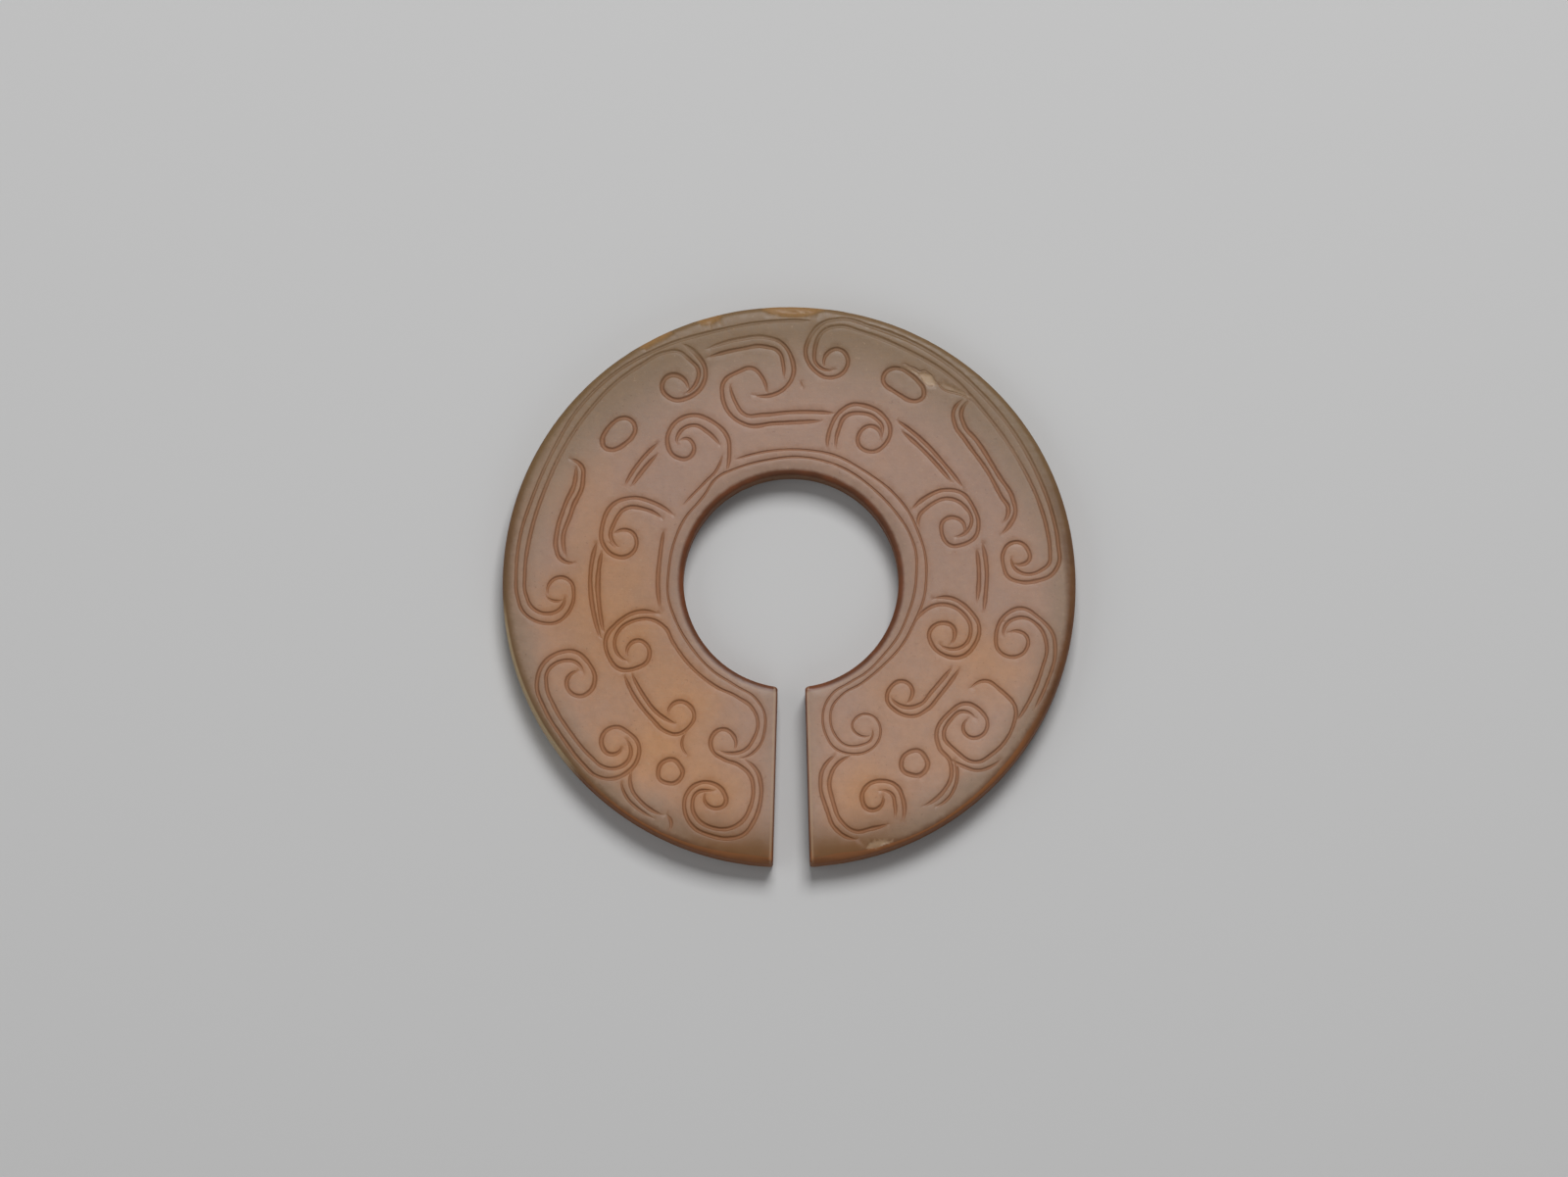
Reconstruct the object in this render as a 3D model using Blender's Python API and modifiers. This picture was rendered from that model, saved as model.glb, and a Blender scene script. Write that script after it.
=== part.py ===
"""A jade slit ring: a flat, very slightly oval disc with a round hole a little off its centre,
opened by a slit that widens towards the rim. Scrolls cut as double lines cover the upper face.
It lies on its plain underside, carved face up, with the slit towards -Y."""

import math

import bmesh
import bpy
from mathutils import Vector

MM = 0.001

# The ring, in metres
RING_WIDTH = 46.0 * MM
RING_DEPTH = 45.35 * MM
THICKNESS = 2.8 * MM
HOLE_WIDTH = 17.24 * MM
HOLE_SHIFT_RIGHT = 0.15 * MM
HOLE_SHIFT_BACK = 0.31 * MM
SLIT_AT_HOLE = 2.2 * MM
SLIT_AT_RIM = 2.95 * MM
SLIT_SHIFT_RIGHT = 0.18 * MM

# Its edges: the faces fall a little towards rim and hole before they turn over
RIM_ROUND = 0.5 * MM
HOLE_ROUND = 0.45 * MM
SLIT_BEVEL = 0.16 * MM
FACE_FALL = 0.07 * MM
RIM_FALL_WIDTH = 0.5 * MM
HOLE_FALL_WIDTH = 0.45 * MM

# The cut lines
GROOVE_WIDTH = 0.40 * MM
GROOVE_DEPTH = 0.19 * MM
TAPER_LENGTH = 1.1 * MM
LONGEST_STEP = 2.4 * MM
TURN_PER_STEP = math.radians(20.0)

# How round shapes are faceted
RIM_FACETS = 96
HOLE_FACETS = 60
ROUND_FACETS = 3

JADE_COLOUR = (0.32, 0.19, 0.12, 1.0)
JADE_ROUGHNESS = 0.35

# The drawing of the scrolls, in millimetres on a ring of the sizes below. It is stretched
# with the real ring, so that every line keeps its place between hole, rim and slit.
DRAWN_RING = Vector((23.0, 22.675))
DRAWN_HOLE = 8.62
DRAWN_HOLE_CENTRE = Vector((0.15, 0.31))
DRAWN_SLIT = {"x": 0.18, "at_hole": 2.2, "at_rim": 2.95}

# Each line is its width, as a share of GROOVE_WIDTH, and the stations that it passes through
RIM_LINES = [
    (0.72, [(1.8, 21.45), (-2, 21.35), (-6, 20.6), (-10, 19.4), (-14, 17.2), (-17, 14.2),
            (-19, 10.8), (-20.64, 6.98), (-21.55, 4.08), (-21.9, 1), (-21.83, -0.83),
            (-21.24, -2.33), (-20.03, -3.07), (-18.65, -3.07), (-17.7, -2.24), (-17.27, -0.83),
            (-17.53, 0.22), (-18.4, 0.59), (-19.2, 0.13), (-19.34, -0.83)]),
    (0.8, [(-8.3, 15.55), (-7.42, 16.5), (-7.28, 17.4), (-8, 18.3), (-9, 18.98), (-10, 18.87),
           (-12, 17.8), (-14, 16.35), (-16, 14.2), (-18.1, 11.05), (-19.5, 8.03),
           (-20.68, 4.43), (-21.2, 1), (-21.13, -0.75), (-20.5, -1.97), (-19.43, -2.37),
           (-18.4, -2), (-17.98, -0.96)]),
    (1.0, [(-8.55, 19.55), (-7.5, 18.8), (-6.72, 17.4), (-6.87, 16.4), (-8, 15.25),
           (-9.43, 15.1), (-10.22, 16.1), (-9.63, 17), (-8.65, 16.85), (-8.1, 15.9)]),
    (0.8, [(-19.47, -1), (-18.65, -1.36), (-18.2, -1.27)]),
    (0.85, [(18, 1.7), (18.6, 1.6), (19.27, 2.05), (19.15, 2.85), (18.5, 3.42), (17.6, 3.25),
            (17.15, 2.5), (17.2, 1.5), (17.6, 0.6), (18.5, 0.22), (20, 0.33), (21, 0.75),
            (21.55, 1.5), (21.57, 3.5), (21.08, 5.9), (20, 8.82), (18.4, 11.83), (16, 14.95),
            (13, 17.77), (10, 19.65), (7, 20.85), (4, 21.6), (2.65, 21.25), (1.67, 20.15),
            (1.32, 18.8), (1.86, 17.6), (3.44, 16.83), (4.43, 17.35), (4.7, 18.4), (4, 19.15),
            (3.05, 18.8), (2.85, 17.7)]),
    (0.8, [(17.83, 2.2), (18.15, 1.26), (19, 0.84), (20.15, 1.12), (20.9, 1.83), (20.94, 2.5),
           (20.66, 4.66), (20, 6.84), (18.57, 9.85), (16, 13.62), (13, 16.88), (9, 19.3),
           (6, 20.5), (4, 21), (2.95, 20.75), (2.06, 19.1), (2.16, 18), (3.5, 17.45)]),
]

HOLE_LINES = [
    (0.6, [(-4.36, 10.15), (-2, 10.78), (1, 10.95), (3.64, 10.5), (6, 9.25), (8.3, 7.5),
           (9.47, 6.1), (10.38, 4.2), (10.9, 2.5), (11, 0.5), (10.81, -1.1), (10.1, -2.95),
           (9.04, -4.92), (7.52, -6.6), (5.8, -8.02), (4.24, -8.96), (3.45, -9.95),
           (3.3, -11), (3.64, -12.14), (4.52, -13.02), (5.81, -13.02), (6.55, -12.6),
           (6.65, -11.72)]),
    (0.6, [(4.03, 9.6), (1, 10.35), (-2, 10.07), (-4.2, 9.45), (-5.7, 8.75), (-7, 7.02),
           (-8.43, 5.27), (-9.27, 3.3), (-9.68, 1), (-9.73, -0.83), (-9.06, -3),
           (-7.8, -5.18), (-6.19, -6.96), (-4.4, -8.15), (-2.7, -9.24), (-1.97, -10.47),
           (-1.93, -11.65), (-2.6, -13.37), (-3.5, -14), (-4.03, -14.1)]),
    (0.6, [(3, 10), (5, 9.1), (6.5, 8), (8.45, 6), (9.64, 4.2), (10.15, 2.73), (10.22, 1),
           (10, -0.9), (9.5, -2.5), (8.8, -4.08), (7.62, -5.67), (6.14, -7.17),
           (4.88, -7.94), (3.46, -8.87), (2.81, -9.99), (2.69, -11.1), (2.95, -12.2),
           (3.69, -13.3), (4.79, -13.73), (6.27, -13.54), (7.19, -12.6), (7.28, -11.48),
           (6.73, -10.69), (5.53, -10.69), (5.05, -11.48), (5.62, -12.23), (6.54, -12.25)]),
]

UPPER_SCROLLS = [
    (1.0, [(-6.48, 19.2), (-4, 19.95), (-2, 20.13), (-0.65, 19.7), (0.18, 18.5), (0.31, 17),
           (-0.26, 16.05), (-1.64, 15.35), (-2.73, 15.38)]),
    (0.9, [(-6.48, 18.5), (-4, 19.15), (-2, 19.37), (-0.85, 18.95), (-0.46, 17.8),
           (-0.44, 16.85)]),
    (1.0, [(-1.8, 15.6), (-2.13, 16.8), (-3, 17.6), (-4.1, 17.3), (-5.24, 16.5),
           (-5.34, 15.2), (-4.7, 13.8), (-3.52, 13.02), (-1, 13.12), (2.6, 13.3)]),
    (0.95, [(-4.74, 16.25), (-4.35, 14.9), (-3.6, 13.85), (-2, 13.8), (0, 14), (3.64, 13.92)]),
    (1.0, [(-5, 9.3), (-4.8, 10.5), (-5, 12.1), (-6.08, 13.2), (-8, 13.75), (-9.34, 12.95),
           (-9.78, 11.6), (-9.14, 10.4), (-8, 10.35), (-7.66, 11.3), (-8.35, 11.88),
           (-8.75, 11.7)]),
    (1.0, [(-9.04, 11.5), (-8.65, 12.55), (-7.76, 12.95), (-6.48, 12.35), (-5.58, 11.35)]),
    (0.6, [(-5.34, 10.6), (-5.78, 9.4), (-6.87, 8.2), (-8, 7.02), (-8.56, 6.4)]),
    (1.0, [(3.07, 11.1), (3.3, 12.7), (4.08, 14.05), (5.12, 14.65), (6.1, 14.55),
           (7.4, 13.9), (8.12, 12.7), (7.7, 11.4), (6.6, 10.8), (5.56, 11.45), (5.7, 12.4),
           (6.5, 12.9), (7.34, 12.3), (7.37, 11.8)]),
    (0.95, [(3.74, 11.1), (3.94, 12.5), (4.63, 13.75), (5.7, 13.95), (6.9, 13.55),
            (7.5, 12.7), (7.44, 12.2)]),
]

LEFT_SCROLLS = [
    (1.1, [(-17.1, 9.6), (-17.22, 8.27), (-18, 6.43), (-18.6, 4.5), (-18.7, 2.94),
           (-18.4, 2.15), (-17.27, 1.77)]),
    (1.1, [(-17.55, 10.18), (-16.65, 9.6), (-16.55, 8.45), (-17.44, 6), (-18.13, 3.38),
           (-17.92, 2.33)]),
    (1.0, [(-9.3, 5.65), (-10.76, 6.6), (-12.67, 7.05), (-14.06, 6.58), (-14.98, 4.87),
           (-14.98, 3.38), (-14.15, 2.4), (-13, 2.3), (-12.24, 3.3), (-12.55, 4.2),
           (-13.46, 4.43), (-13.98, 4.17)]),
    (0.95, [(-10.2, 5.4), (-11.46, 6.1), (-13.2, 6.14), (-14, 5.1), (-14.28, 3.73),
            (-13.7, 3.03)]),
    (1.0, [(-10.6, -2.35), (-12, -2.2), (-13.85, -3.18), (-14.7, -4.4), (-14.5, -5.8),
           (-13.58, -6.87), (-12.37, -6.82), (-11.3, -6.08), (-11.33, -5.03),
           (-12.2, -4.54), (-12.93, -5.1), (-13, -5.73)]),
    (0.85, [(-13, -6.2), (-13.7, -5.7), (-14, -4.8), (-13.5, -3.55), (-12.5, -2.95),
            (-11, -2.85), (-10, -3.45), (-9.23, -4.83), (-7.8, -6.73), (-6, -8.2),
            (-4.13, -9.15), (-3, -9.97), (-2.5, -11.28), (-2.82, -12.46), (-3.54, -13.42),
            (-4.58, -13.7), (-5.57, -13.5)]),
    (1.0, [(-17, -7.04), (-17.78, -7.66), (-17.7, -8.54), (-16.87, -9.06), (-15.92, -8.62),
           (-15.57, -7.57), (-16.1, -6.34), (-17.13, -5.47), (-18.5, -5.55),
           (-19.64, -6.34), (-20.23, -8.1), (-19.55, -10.2), (-18.16, -12.44),
           (-16.6, -14.5), (-15.5, -15.5), (-14.27, -15.77), (-13.06, -15.3),
           (-12.16, -14.2), (-12.1, -12.92), (-12.9, -12), (-13.93, -11.56),
           (-14.84, -12.04), (-15, -13.1), (-14.45, -13.75), (-13.4, -13.2)]),
    (0.95, [(-16.52, -7.1), (-17.13, -6.3), (-18.08, -6.18), (-19.4, -7.13), (-19.46, -8.2),
            (-18.77, -10.03), (-17.5, -12.05), (-15.9, -13.97), (-14.88, -14.8),
            (-13.84, -14.9), (-12.9, -14.28), (-12.7, -13.27), (-13.05, -12.6)]),
    (1.0, [(-13.2, -7.37), (-12.56, -8.83), (-11, -10.92), (-10, -11.87), (-9, -12.15),
           (-8.07, -11.6), (-7.6, -10.65), (-7.98, -9.83), (-8.88, -9.5), (-9.7, -10.47)]),
    (1.0, [(-12.6, -7.24), (-11.84, -8.74), (-10.5, -10.47), (-9.1, -11.3)]),
    (0.7, [(-8.2, -12), (-8.6, -13), (-8.34, -13.65), (-8.14, -13.87)]),
    (1.0, [(-4.36, -13.37), (-4.5, -12.2), (-5.4, -11.74), (-6.24, -12.47), (-6.1, -13.56),
           (-5.2, -14.2), (-4.04, -14.65), (-3.1, -15.55), (-2.87, -16.74), (-3.1, -18),
           (-3.77, -19.2), (-4.85, -19.8), (-6.1, -19.74), (-7.27, -19.1), (-7.76, -18),
           (-7.36, -16.87), (-6.46, -16.7), (-6.06, -16.74)]),
    (1.0, [(-3.5, -14.28), (-2.6, -15.1), (-2.24, -16.37), (-2.33, -17.74), (-2.78, -19.1),
           (-3.68, -20.28), (-4.85, -20.6), (-6.28, -20.37), (-7.7, -19.65),
           (-8.34, -18.46), (-8.3, -17.2), (-7.45, -16.2), (-6.2, -16.1), (-5.25, -16.83),
           (-5.1, -17.74), (-6, -18.15), (-6.78, -17.47), (-6.73, -16.97)]),
]

RIGHT_SCROLLS = [
    (1.0, [(13.93, 15), (13.2, 14.1), (13.33, 12.97), (14.2, 11.65), (15.98, 9.1), (17, 7.2),
           (17.6, 6.1), (17.18, 5.04)]),
    (1.1, [(14.5, 14.95), (13.84, 14.1), (14.07, 12.97), (15.14, 11.6), (16.8, 8.92),
           (17.95, 7), (18.15, 5.8), (17.64, 4.75), (17.04, 4.1)]),
    (1.0, [(9.88, 6.12), (11, 7.11), (12.6, 7.7), (13.93, 7.4), (14.81, 6.26),
           (15.2, 4.94), (14.95, 3.9), (13.93, 3.25), (12.9, 3.2), (12.27, 4.09),
           (12.44, 5.23), (13.37, 5.42), (14.07, 4.8), (14.05, 4.2)]),
    (0.9, [(10.45, 4.6), (10.39, 5.42), (11.14, 6.31), (13, 6.97), (14, 6.45),
           (14.62, 4.94), (14.02, 4.1), (13.32, 3.86)]),
    (1.0, [(11.65, -1.14), (12.7, -1.05), (14.39, -2), (15.25, -3.55), (14.95, -4.77),
           (13.69, -5.9), (12.5, -5.76), (11.5, -4.95), (11.3, -3.75), (12.3, -3.12),
           (13.14, -3.45), (13.23, -4.36), (12.96, -4.83)]),
    (0.95, [(9.9, -3.34), (10.56, -2.4), (12.04, -1.62), (13.8, -2.2), (14.57, -3.7),
            (14.06, -4.92), (13.14, -5.25), (12.13, -4.92)]),
    (0.9, [(19.7, -10.04), (20.64, -8.06), (21.34, -5.4), (21.2, -4.15), (20.15, -2.8),
           (18.39, -1.94), (17.36, -2.46), (16.6, -4), (16.9, -5.46), (17.94, -5.89),
           (18.92, -5.4), (19.04, -4.2), (18.3, -3.78), (17.6, -3.92)]),
    (0.9, [(17.18, -4.2), (17.4, -3.26), (18.39, -2.7), (20.15, -3.55), (20.64, -4.85),
           (20.2, -7.1), (18.97, -9.94), (18.3, -11)]),
    (1.0, [(13.02, -6.78), (11.48, -8.63), (10.45, -9.75), (9.3, -9.95), (8.16, -9.2)]),
    (1.0, [(13.67, -6.83), (12.13, -8.93), (11.1, -10.12), (9.98, -10.68), (8.7, -10.35),
           (7.83, -9.24), (8.16, -8.3), (8.94, -7.84), (9.86, -8.45), (9.7, -9.34),
           (9.45, -9.63)]),
    (0.95, [(14.6, -8.39), (15.43, -7.85), (17.1, -8.7), (18.18, -10.2), (17.99, -11.36),
            (16.46, -13.6), (14.9, -14.4), (13.4, -13.53), (12.4, -12.1), (12.93, -10.98),
            (13.86, -10.3), (14.9, -10.84)]),
    (0.95, [(14.35, -10.9), (13.95, -11.74), (14.5, -12.4), (15.43, -12.25),
            (15.9, -11.26), (15.34, -10.23), (14.2, -9.65), (12.83, -10.4), (11.8, -12.1),
            (12, -13.15), (12.93, -14.47), (12.97, -15.6), (12.39, -16.73),
            (10.77, -17.96)]),
    (0.85, [(13.2, -14.19), (13.46, -15.1), (13.3, -16.36), (12.3, -17.73), (11.76, -18)]),
    (0.85, [(12.85, -14.15), (13.95, -14.75), (15.06, -15.08), (16.36, -14.66),
            (16.9, -14.24)]),
    (1.0, [(3.64, -13.91), (2.69, -15), (2.51, -16.27), (2.96, -18.1), (3.77, -19.87),
           (4.76, -20.55), (5.39, -20.68)]),
    (1.0, [(4.85, -13.95), (3.86, -14.55), (3.25, -15.8), (3.5, -17.55), (4.17, -19.19),
           (5.15, -19.98), (6.73, -19.77), (7.9, -19.45)]),
    (1.1, [(7.5, -17.14), (7.32, -18), (6.46, -18.28), (5.83, -17.3), (6.19, -16.37),
           (7.36, -15.92), (8.53, -16.28), (9.15, -17.5), (9.11, -19.1)]),
    (1.0, [(7.32, -16.73), (8.08, -16.87), (8.5, -18), (8.48, -18.9)]),
]

SHORT_DASHES = [
    (1.0, [(-10.56, 11.47), (-12.16, 9.77), (-13.16, 8.1)]),
    (1.0, [(-10.56, 10.64), (-11.9, 9.07), (-12.64, 8)]),
    (1.0, [(8.72, 13.3), (10.87, 11.55), (12.53, 9.7), (13.93, 7.93)]),
    (1.0, [(9.06, 12.45), (10.87, 10.8), (13, 8.35)]),
    (1.1, [(-15.45, 3.38), (-15.93, 1), (-15.9, -0.83), (-15.5, -3.1), (-15.15, -4.3)]),
    (1.1, [(-15.02, 2.68), (-15.35, 0), (-15.24, -1.7), (-14.9, -3.8)]),
    (1.1, [(15.04, 2.87), (15.23, 0.8), (15.06, -1.38)]),
    (1.1, [(15.5, 3.34), (15.86, 0.98), (15.78, -0.62), (15.6, -2.2)]),
    (1.0, [(-10.05, 4.4), (-10.4, 2), (-10.53, 0.3), (-10.35, -1.9)]),
    (0.9, [(-12.65, -15.1), (-12.7, -16.28), (-11.66, -17.83), (-10.13, -18.7)]),
    (0.85, [(-13.46, -16), (-13, -17.28), (-12.1, -18.2), (-10.85, -18.97)]),
    (1.0, [(-9.82, -18.65), (-9.46, -19.3), (-9.6, -19.92)]),
]

# Each eye is its centre, half length, half width and the tilt of its length in degrees
EYES = [
    ((-13.65, 12.25), 1.65, 0.95, 47.0),
    ((9.22, 16.2), 1.85, 1.05, -38.0),
    ((-9.54, -15.19), 0.98, 0.98, 0.0),
    ((10.04, -14.5), 1.06, 1.02, 0.0),
]
EYE_STATIONS = 14

# Each chip is its centre, half length, half width, depth and the tilt of its length in degrees
CHIPS = [
    ((-11.65, 19.55), 1.1, 0.5, 0.22, 31.0),
    ((-7.0, 21.5), 1.5, 0.55, 0.25, 18.0),
    ((0.2, 22.25), 2.1, 0.5, 0.3, -1.0),
    ((11.9, 16.5), 2.3, 0.75, 0.14, -42.0),
    ((7.6, -21.1), 1.7, 0.4, 0.16, 21.0),
]


# Drawing smooth lines through stations

def circle_arc(stations, start, end):
    """A function of 0..1 that runs from start to end on the circle through three stations."""
    one, two, three = stations
    across = (two - one).cross(three - two)
    if abs(across) < 1e-6:
        return lambda share: start.lerp(end, share)
    squares = [station.length_squared for station in stations]
    centre = Vector((
        squares[0] * (two.y - three.y) + squares[1] * (three.y - one.y)
        + squares[2] * (one.y - two.y),
        squares[0] * (three.x - two.x) + squares[1] * (one.x - three.x)
        + squares[2] * (two.x - one.x))) / (2.0 * across)
    radius = (start - centre).length
    first = math.atan2(start.y - centre.y, start.x - centre.x)
    last = math.atan2(end.y - centre.y, end.x - centre.x)
    sweep = (last - first) % math.tau if across > 0.0 else -((first - last) % math.tau)

    def at(share):
        angle = first + sweep * share
        return centre + Vector((math.cos(angle), math.sin(angle))) * radius
    return at


def smooth_line(stations, fineness=16):
    """A fine line through the stations: each stretch blends the circles at its two ends."""
    line = [stations[0]]
    for here in range(len(stations) - 1):
        start, end = stations[here], stations[here + 1]
        first_of_arc = min(max(here - 1, 0), len(stations) - 3)
        first_of_next = min(here, len(stations) - 3)
        leaving = circle_arc(stations[first_of_arc:first_of_arc + 3], start, end)
        arriving = circle_arc(stations[first_of_next:first_of_next + 3], start, end)
        for step in range(1, fineness + 1):
            share = step / fineness
            weight = math.sin(share * math.pi / 2.0) ** 2
            line.append(leaving(share).lerp(arriving(share), weight))
    return line


def thinned(line):
    """The points that a faceted tool needs: one for each turn or each longest step."""
    kept = [line[0]]
    turn = 0.0
    run = 0.0
    for before, here, after in zip(line, line[1:], line[2:]):
        turn += abs((after - here).angle(here - before, 0.0))
        run += (here - before).length
        if turn >= TURN_PER_STEP or run >= LONGEST_STEP:
            kept.append(here)
            turn = 0.0
            run = 0.0
    kept.append(line[-1])
    return kept


# From the drawing to the ring

def rim_distance(bearing, half_width, half_depth):
    """How far the oval rim is from the ring's centre, along a bearing."""
    return 1.0 / math.hypot(math.cos(bearing) / half_width, math.sin(bearing) / half_depth)


def hole_distance(bearing, radius, centre):
    """How far the round hole's edge is from the ring's centre, along a bearing."""
    along = centre.x * math.cos(bearing) + centre.y * math.sin(bearing)
    return along + math.sqrt(radius ** 2 - centre.length_squared + along ** 2)


def slit_half(y, at_hole, at_rim, hole_y, rim_y):
    """Half the slit's width at a height on the face."""
    share = (hole_y - y) / (hole_y - rim_y)
    return (at_hole + (at_rim - at_hole) * share) / 2.0


HOLE_CENTRE = Vector((HOLE_SHIFT_RIGHT, HOLE_SHIFT_BACK))
HOLE_FRONT = HOLE_SHIFT_BACK - HOLE_WIDTH / 2.0
RIM_FRONT = -RING_DEPTH / 2.0
DRAWN_HOLE_FRONT = DRAWN_HOLE_CENTRE.y - DRAWN_HOLE


def on_ring(x, y):
    """Where a point of the drawing lies on the real ring, in metres."""
    bearing = math.atan2(y, x)
    reach = math.hypot(x, y)
    drawn_hole = hole_distance(bearing, DRAWN_HOLE, DRAWN_HOLE_CENTRE)
    drawn_rim = rim_distance(bearing, *DRAWN_RING)
    share = (reach - drawn_hole) / (drawn_rim - drawn_hole)
    hole = hole_distance(bearing, HOLE_WIDTH / 2.0, HOLE_CENTRE)
    rim = rim_distance(bearing, RING_WIDTH / 2.0, RING_DEPTH / 2.0)
    reach = hole + (rim - hole) * share
    point = Vector((math.cos(bearing), math.sin(bearing))) * reach
    nearness = max(0.0, 1.0 - abs(bearing + math.pi / 2.0) / (math.pi / 3.0))
    drawn_half = slit_half(y, DRAWN_SLIT["at_hole"], DRAWN_SLIT["at_rim"],
                           DRAWN_HOLE_FRONT, -DRAWN_RING.y) * MM
    half = slit_half(point.y, SLIT_AT_HOLE, SLIT_AT_RIM, HOLE_FRONT, RIM_FRONT)
    side = math.copysign(1.0, x - DRAWN_SLIT["x"])
    moved = SLIT_SHIFT_RIGHT - DRAWN_SLIT["x"] * MM + side * (half - drawn_half)
    point.x += moved * nearness
    return point


# Making meshes

def clear_scene():
    for thing in list(bpy.data.objects):
        bpy.data.objects.remove(thing, do_unlink=True)


def new_collection(name):
    collection = bpy.data.collections.new(name)
    bpy.context.scene.collection.children.link(collection)
    return collection


def evaluated_mesh(thing):
    """The object's shape with its modifiers, in world space."""
    bpy.context.view_layer.update()
    seen = thing.evaluated_get(bpy.context.evaluated_depsgraph_get())
    mesh = bpy.data.meshes.new_from_object(seen)
    mesh.transform(thing.matrix_world)
    return mesh


def settle(thing, collection):
    """Replaces a curve, or an object with modifiers, by a plain closed mesh object."""
    name = thing.name
    mesh = evaluated_mesh(thing)
    shape = bmesh.new()
    shape.from_mesh(mesh)
    bmesh.ops.remove_doubles(shape, verts=shape.verts, dist=1e-7)
    bmesh.ops.recalc_face_normals(shape, faces=shape.faces)
    shape.to_mesh(mesh)
    shape.free()
    bpy.data.objects.remove(thing, do_unlink=True)
    solid = bpy.data.objects.new(name, mesh)
    mesh.name = name
    collection.objects.link(solid)
    return solid


def turned(name, profile, facets, collection):
    """A solid turned about Z from a profile of (radius, height), outer side top to bottom."""
    mesh = bpy.data.meshes.new(name)
    points = [(radius, 0.0, height) for radius, height in profile]
    mesh.from_pydata(points, [(i, i + 1) for i in range(len(points) - 1)], [])
    solid = bpy.data.objects.new(name, mesh)
    collection.objects.link(solid)
    screw = solid.modifiers.new("Turn", "SCREW")
    screw.steps = facets
    screw.render_steps = facets
    screw.use_merge_vertices = True
    screw.merge_threshold = 1e-6
    return solid


def outline_prism(name, outline, length, collection):
    """A prism along Z from a flat outline."""
    curve = bpy.data.curves.new(name, "CURVE")
    curve.dimensions = "2D"
    curve.fill_mode = "BOTH"
    curve.extrude = length / 2.0
    spline = curve.splines.new("POLY")
    spline.points.add(len(outline) - 1)
    for point, (x, y) in zip(spline.points, outline):
        point.co = (x, y, 0.0, 1.0)
    spline.use_cyclic_u = True
    solid = bpy.data.objects.new(name, curve)
    collection.objects.link(solid)
    return solid


def cut(solid, cutter):
    """Cuts one object, or every object of a collection, out of the solid."""
    boolean = solid.modifiers.new("Cut", "BOOLEAN")
    boolean.operation = "DIFFERENCE"
    boolean.solver = "EXACT"
    if isinstance(cutter, bpy.types.Collection):
        boolean.operand_type = "COLLECTION"
        boolean.collection = cutter
    else:
        boolean.object = cutter


def flatten(solid):
    """Joins the strips of each flat face into one face."""
    dissolve = solid.modifiers.new("Flat faces", "DECIMATE")
    dissolve.decimate_type = "DISSOLVE"
    dissolve.angle_limit = math.radians(0.2)


# The ring's parts

def quarter_round(radius, facets):
    """Points of a quarter circle from its top (0, radius) to its side (radius, 0)."""
    angles = [math.pi / 2.0 * step / facets for step in range(facets + 1)]
    return [(radius * math.sin(angle), radius * math.cos(angle)) for angle in angles]


def mirrored_below(upper):
    """A profile's upper half, followed by the same points below the middle of the thickness."""
    return upper + [(radius, THICKNESS - height) for radius, height in reversed(upper)]


def disc(collection):
    """The blank: a turned disc with falling, rounded edges, slightly narrower front to back."""
    radius = RING_WIDTH / 2.0
    shoulder = radius - RIM_ROUND
    upper = [(0.0, THICKNESS), (shoulder - RIM_FALL_WIDTH, THICKNESS)]
    for across, up in quarter_round(RIM_ROUND, ROUND_FACETS):
        upper.append((shoulder + across, THICKNESS - FACE_FALL - RIM_ROUND + up))
    blank = turned("slit_ring", mirrored_below(upper), RIM_FACETS, collection)
    blank.scale.y = RING_DEPTH / RING_WIDTH
    return blank


def hole_plug(collection):
    """The tool that opens the hole and rounds its edges."""
    radius = HOLE_WIDTH / 2.0
    shoulder = radius + HOLE_ROUND
    upper = [(0.0, THICKNESS + FACE_FALL), (shoulder + 2.0 * HOLE_FALL_WIDTH, THICKNESS + FACE_FALL)]
    for across, up in quarter_round(HOLE_ROUND, ROUND_FACETS):
        upper.append((shoulder - across, THICKNESS - FACE_FALL - HOLE_ROUND + up))
    plug = turned("hole_plug", mirrored_below(upper), HOLE_FACETS, collection)
    plug.location = (HOLE_SHIFT_RIGHT, HOLE_SHIFT_BACK, 0.0)
    return plug


def slit_wedge(collection):
    """The tool that opens the slit: a prism with flared edges, widening to the rim."""
    half = SLIT_AT_HOLE / 2.0
    flare = 2.0 * SLIT_BEVEL
    right = [(half + flare, THICKNESS + SLIT_BEVEL), (half, THICKNESS - SLIT_BEVEL),
             (half, SLIT_BEVEL), (half + flare, -SLIT_BEVEL)]
    left = [(-x, z) for x, z in reversed(right)]
    inner_end = HOLE_SHIFT_BACK
    outer_end = RIM_FRONT - RIM_ROUND
    wedge = outline_prism("slit_wedge", right + left, inner_end - outer_end, collection)
    wedge.rotation_euler.x = math.pi / 2.0
    wedge.location.y = (inner_end + outer_end) / 2.0
    wedge = settle(wedge, collection)
    for vertex in wedge.data.vertices:
        wider = slit_half(vertex.co.y, SLIT_AT_HOLE, SLIT_AT_RIM, HOLE_FRONT, RIM_FRONT) - half
        vertex.co.x += math.copysign(wider, vertex.co.x)
        vertex.co.x += SLIT_SHIFT_RIGHT
    return wedge


# The scroll-cutting tool is a square bar on its edge. Its middle stands above the face by
# this share of the cut's depth, so that a narrower bar makes a narrower cut.
TOOL_LIFT = 0.25


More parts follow.
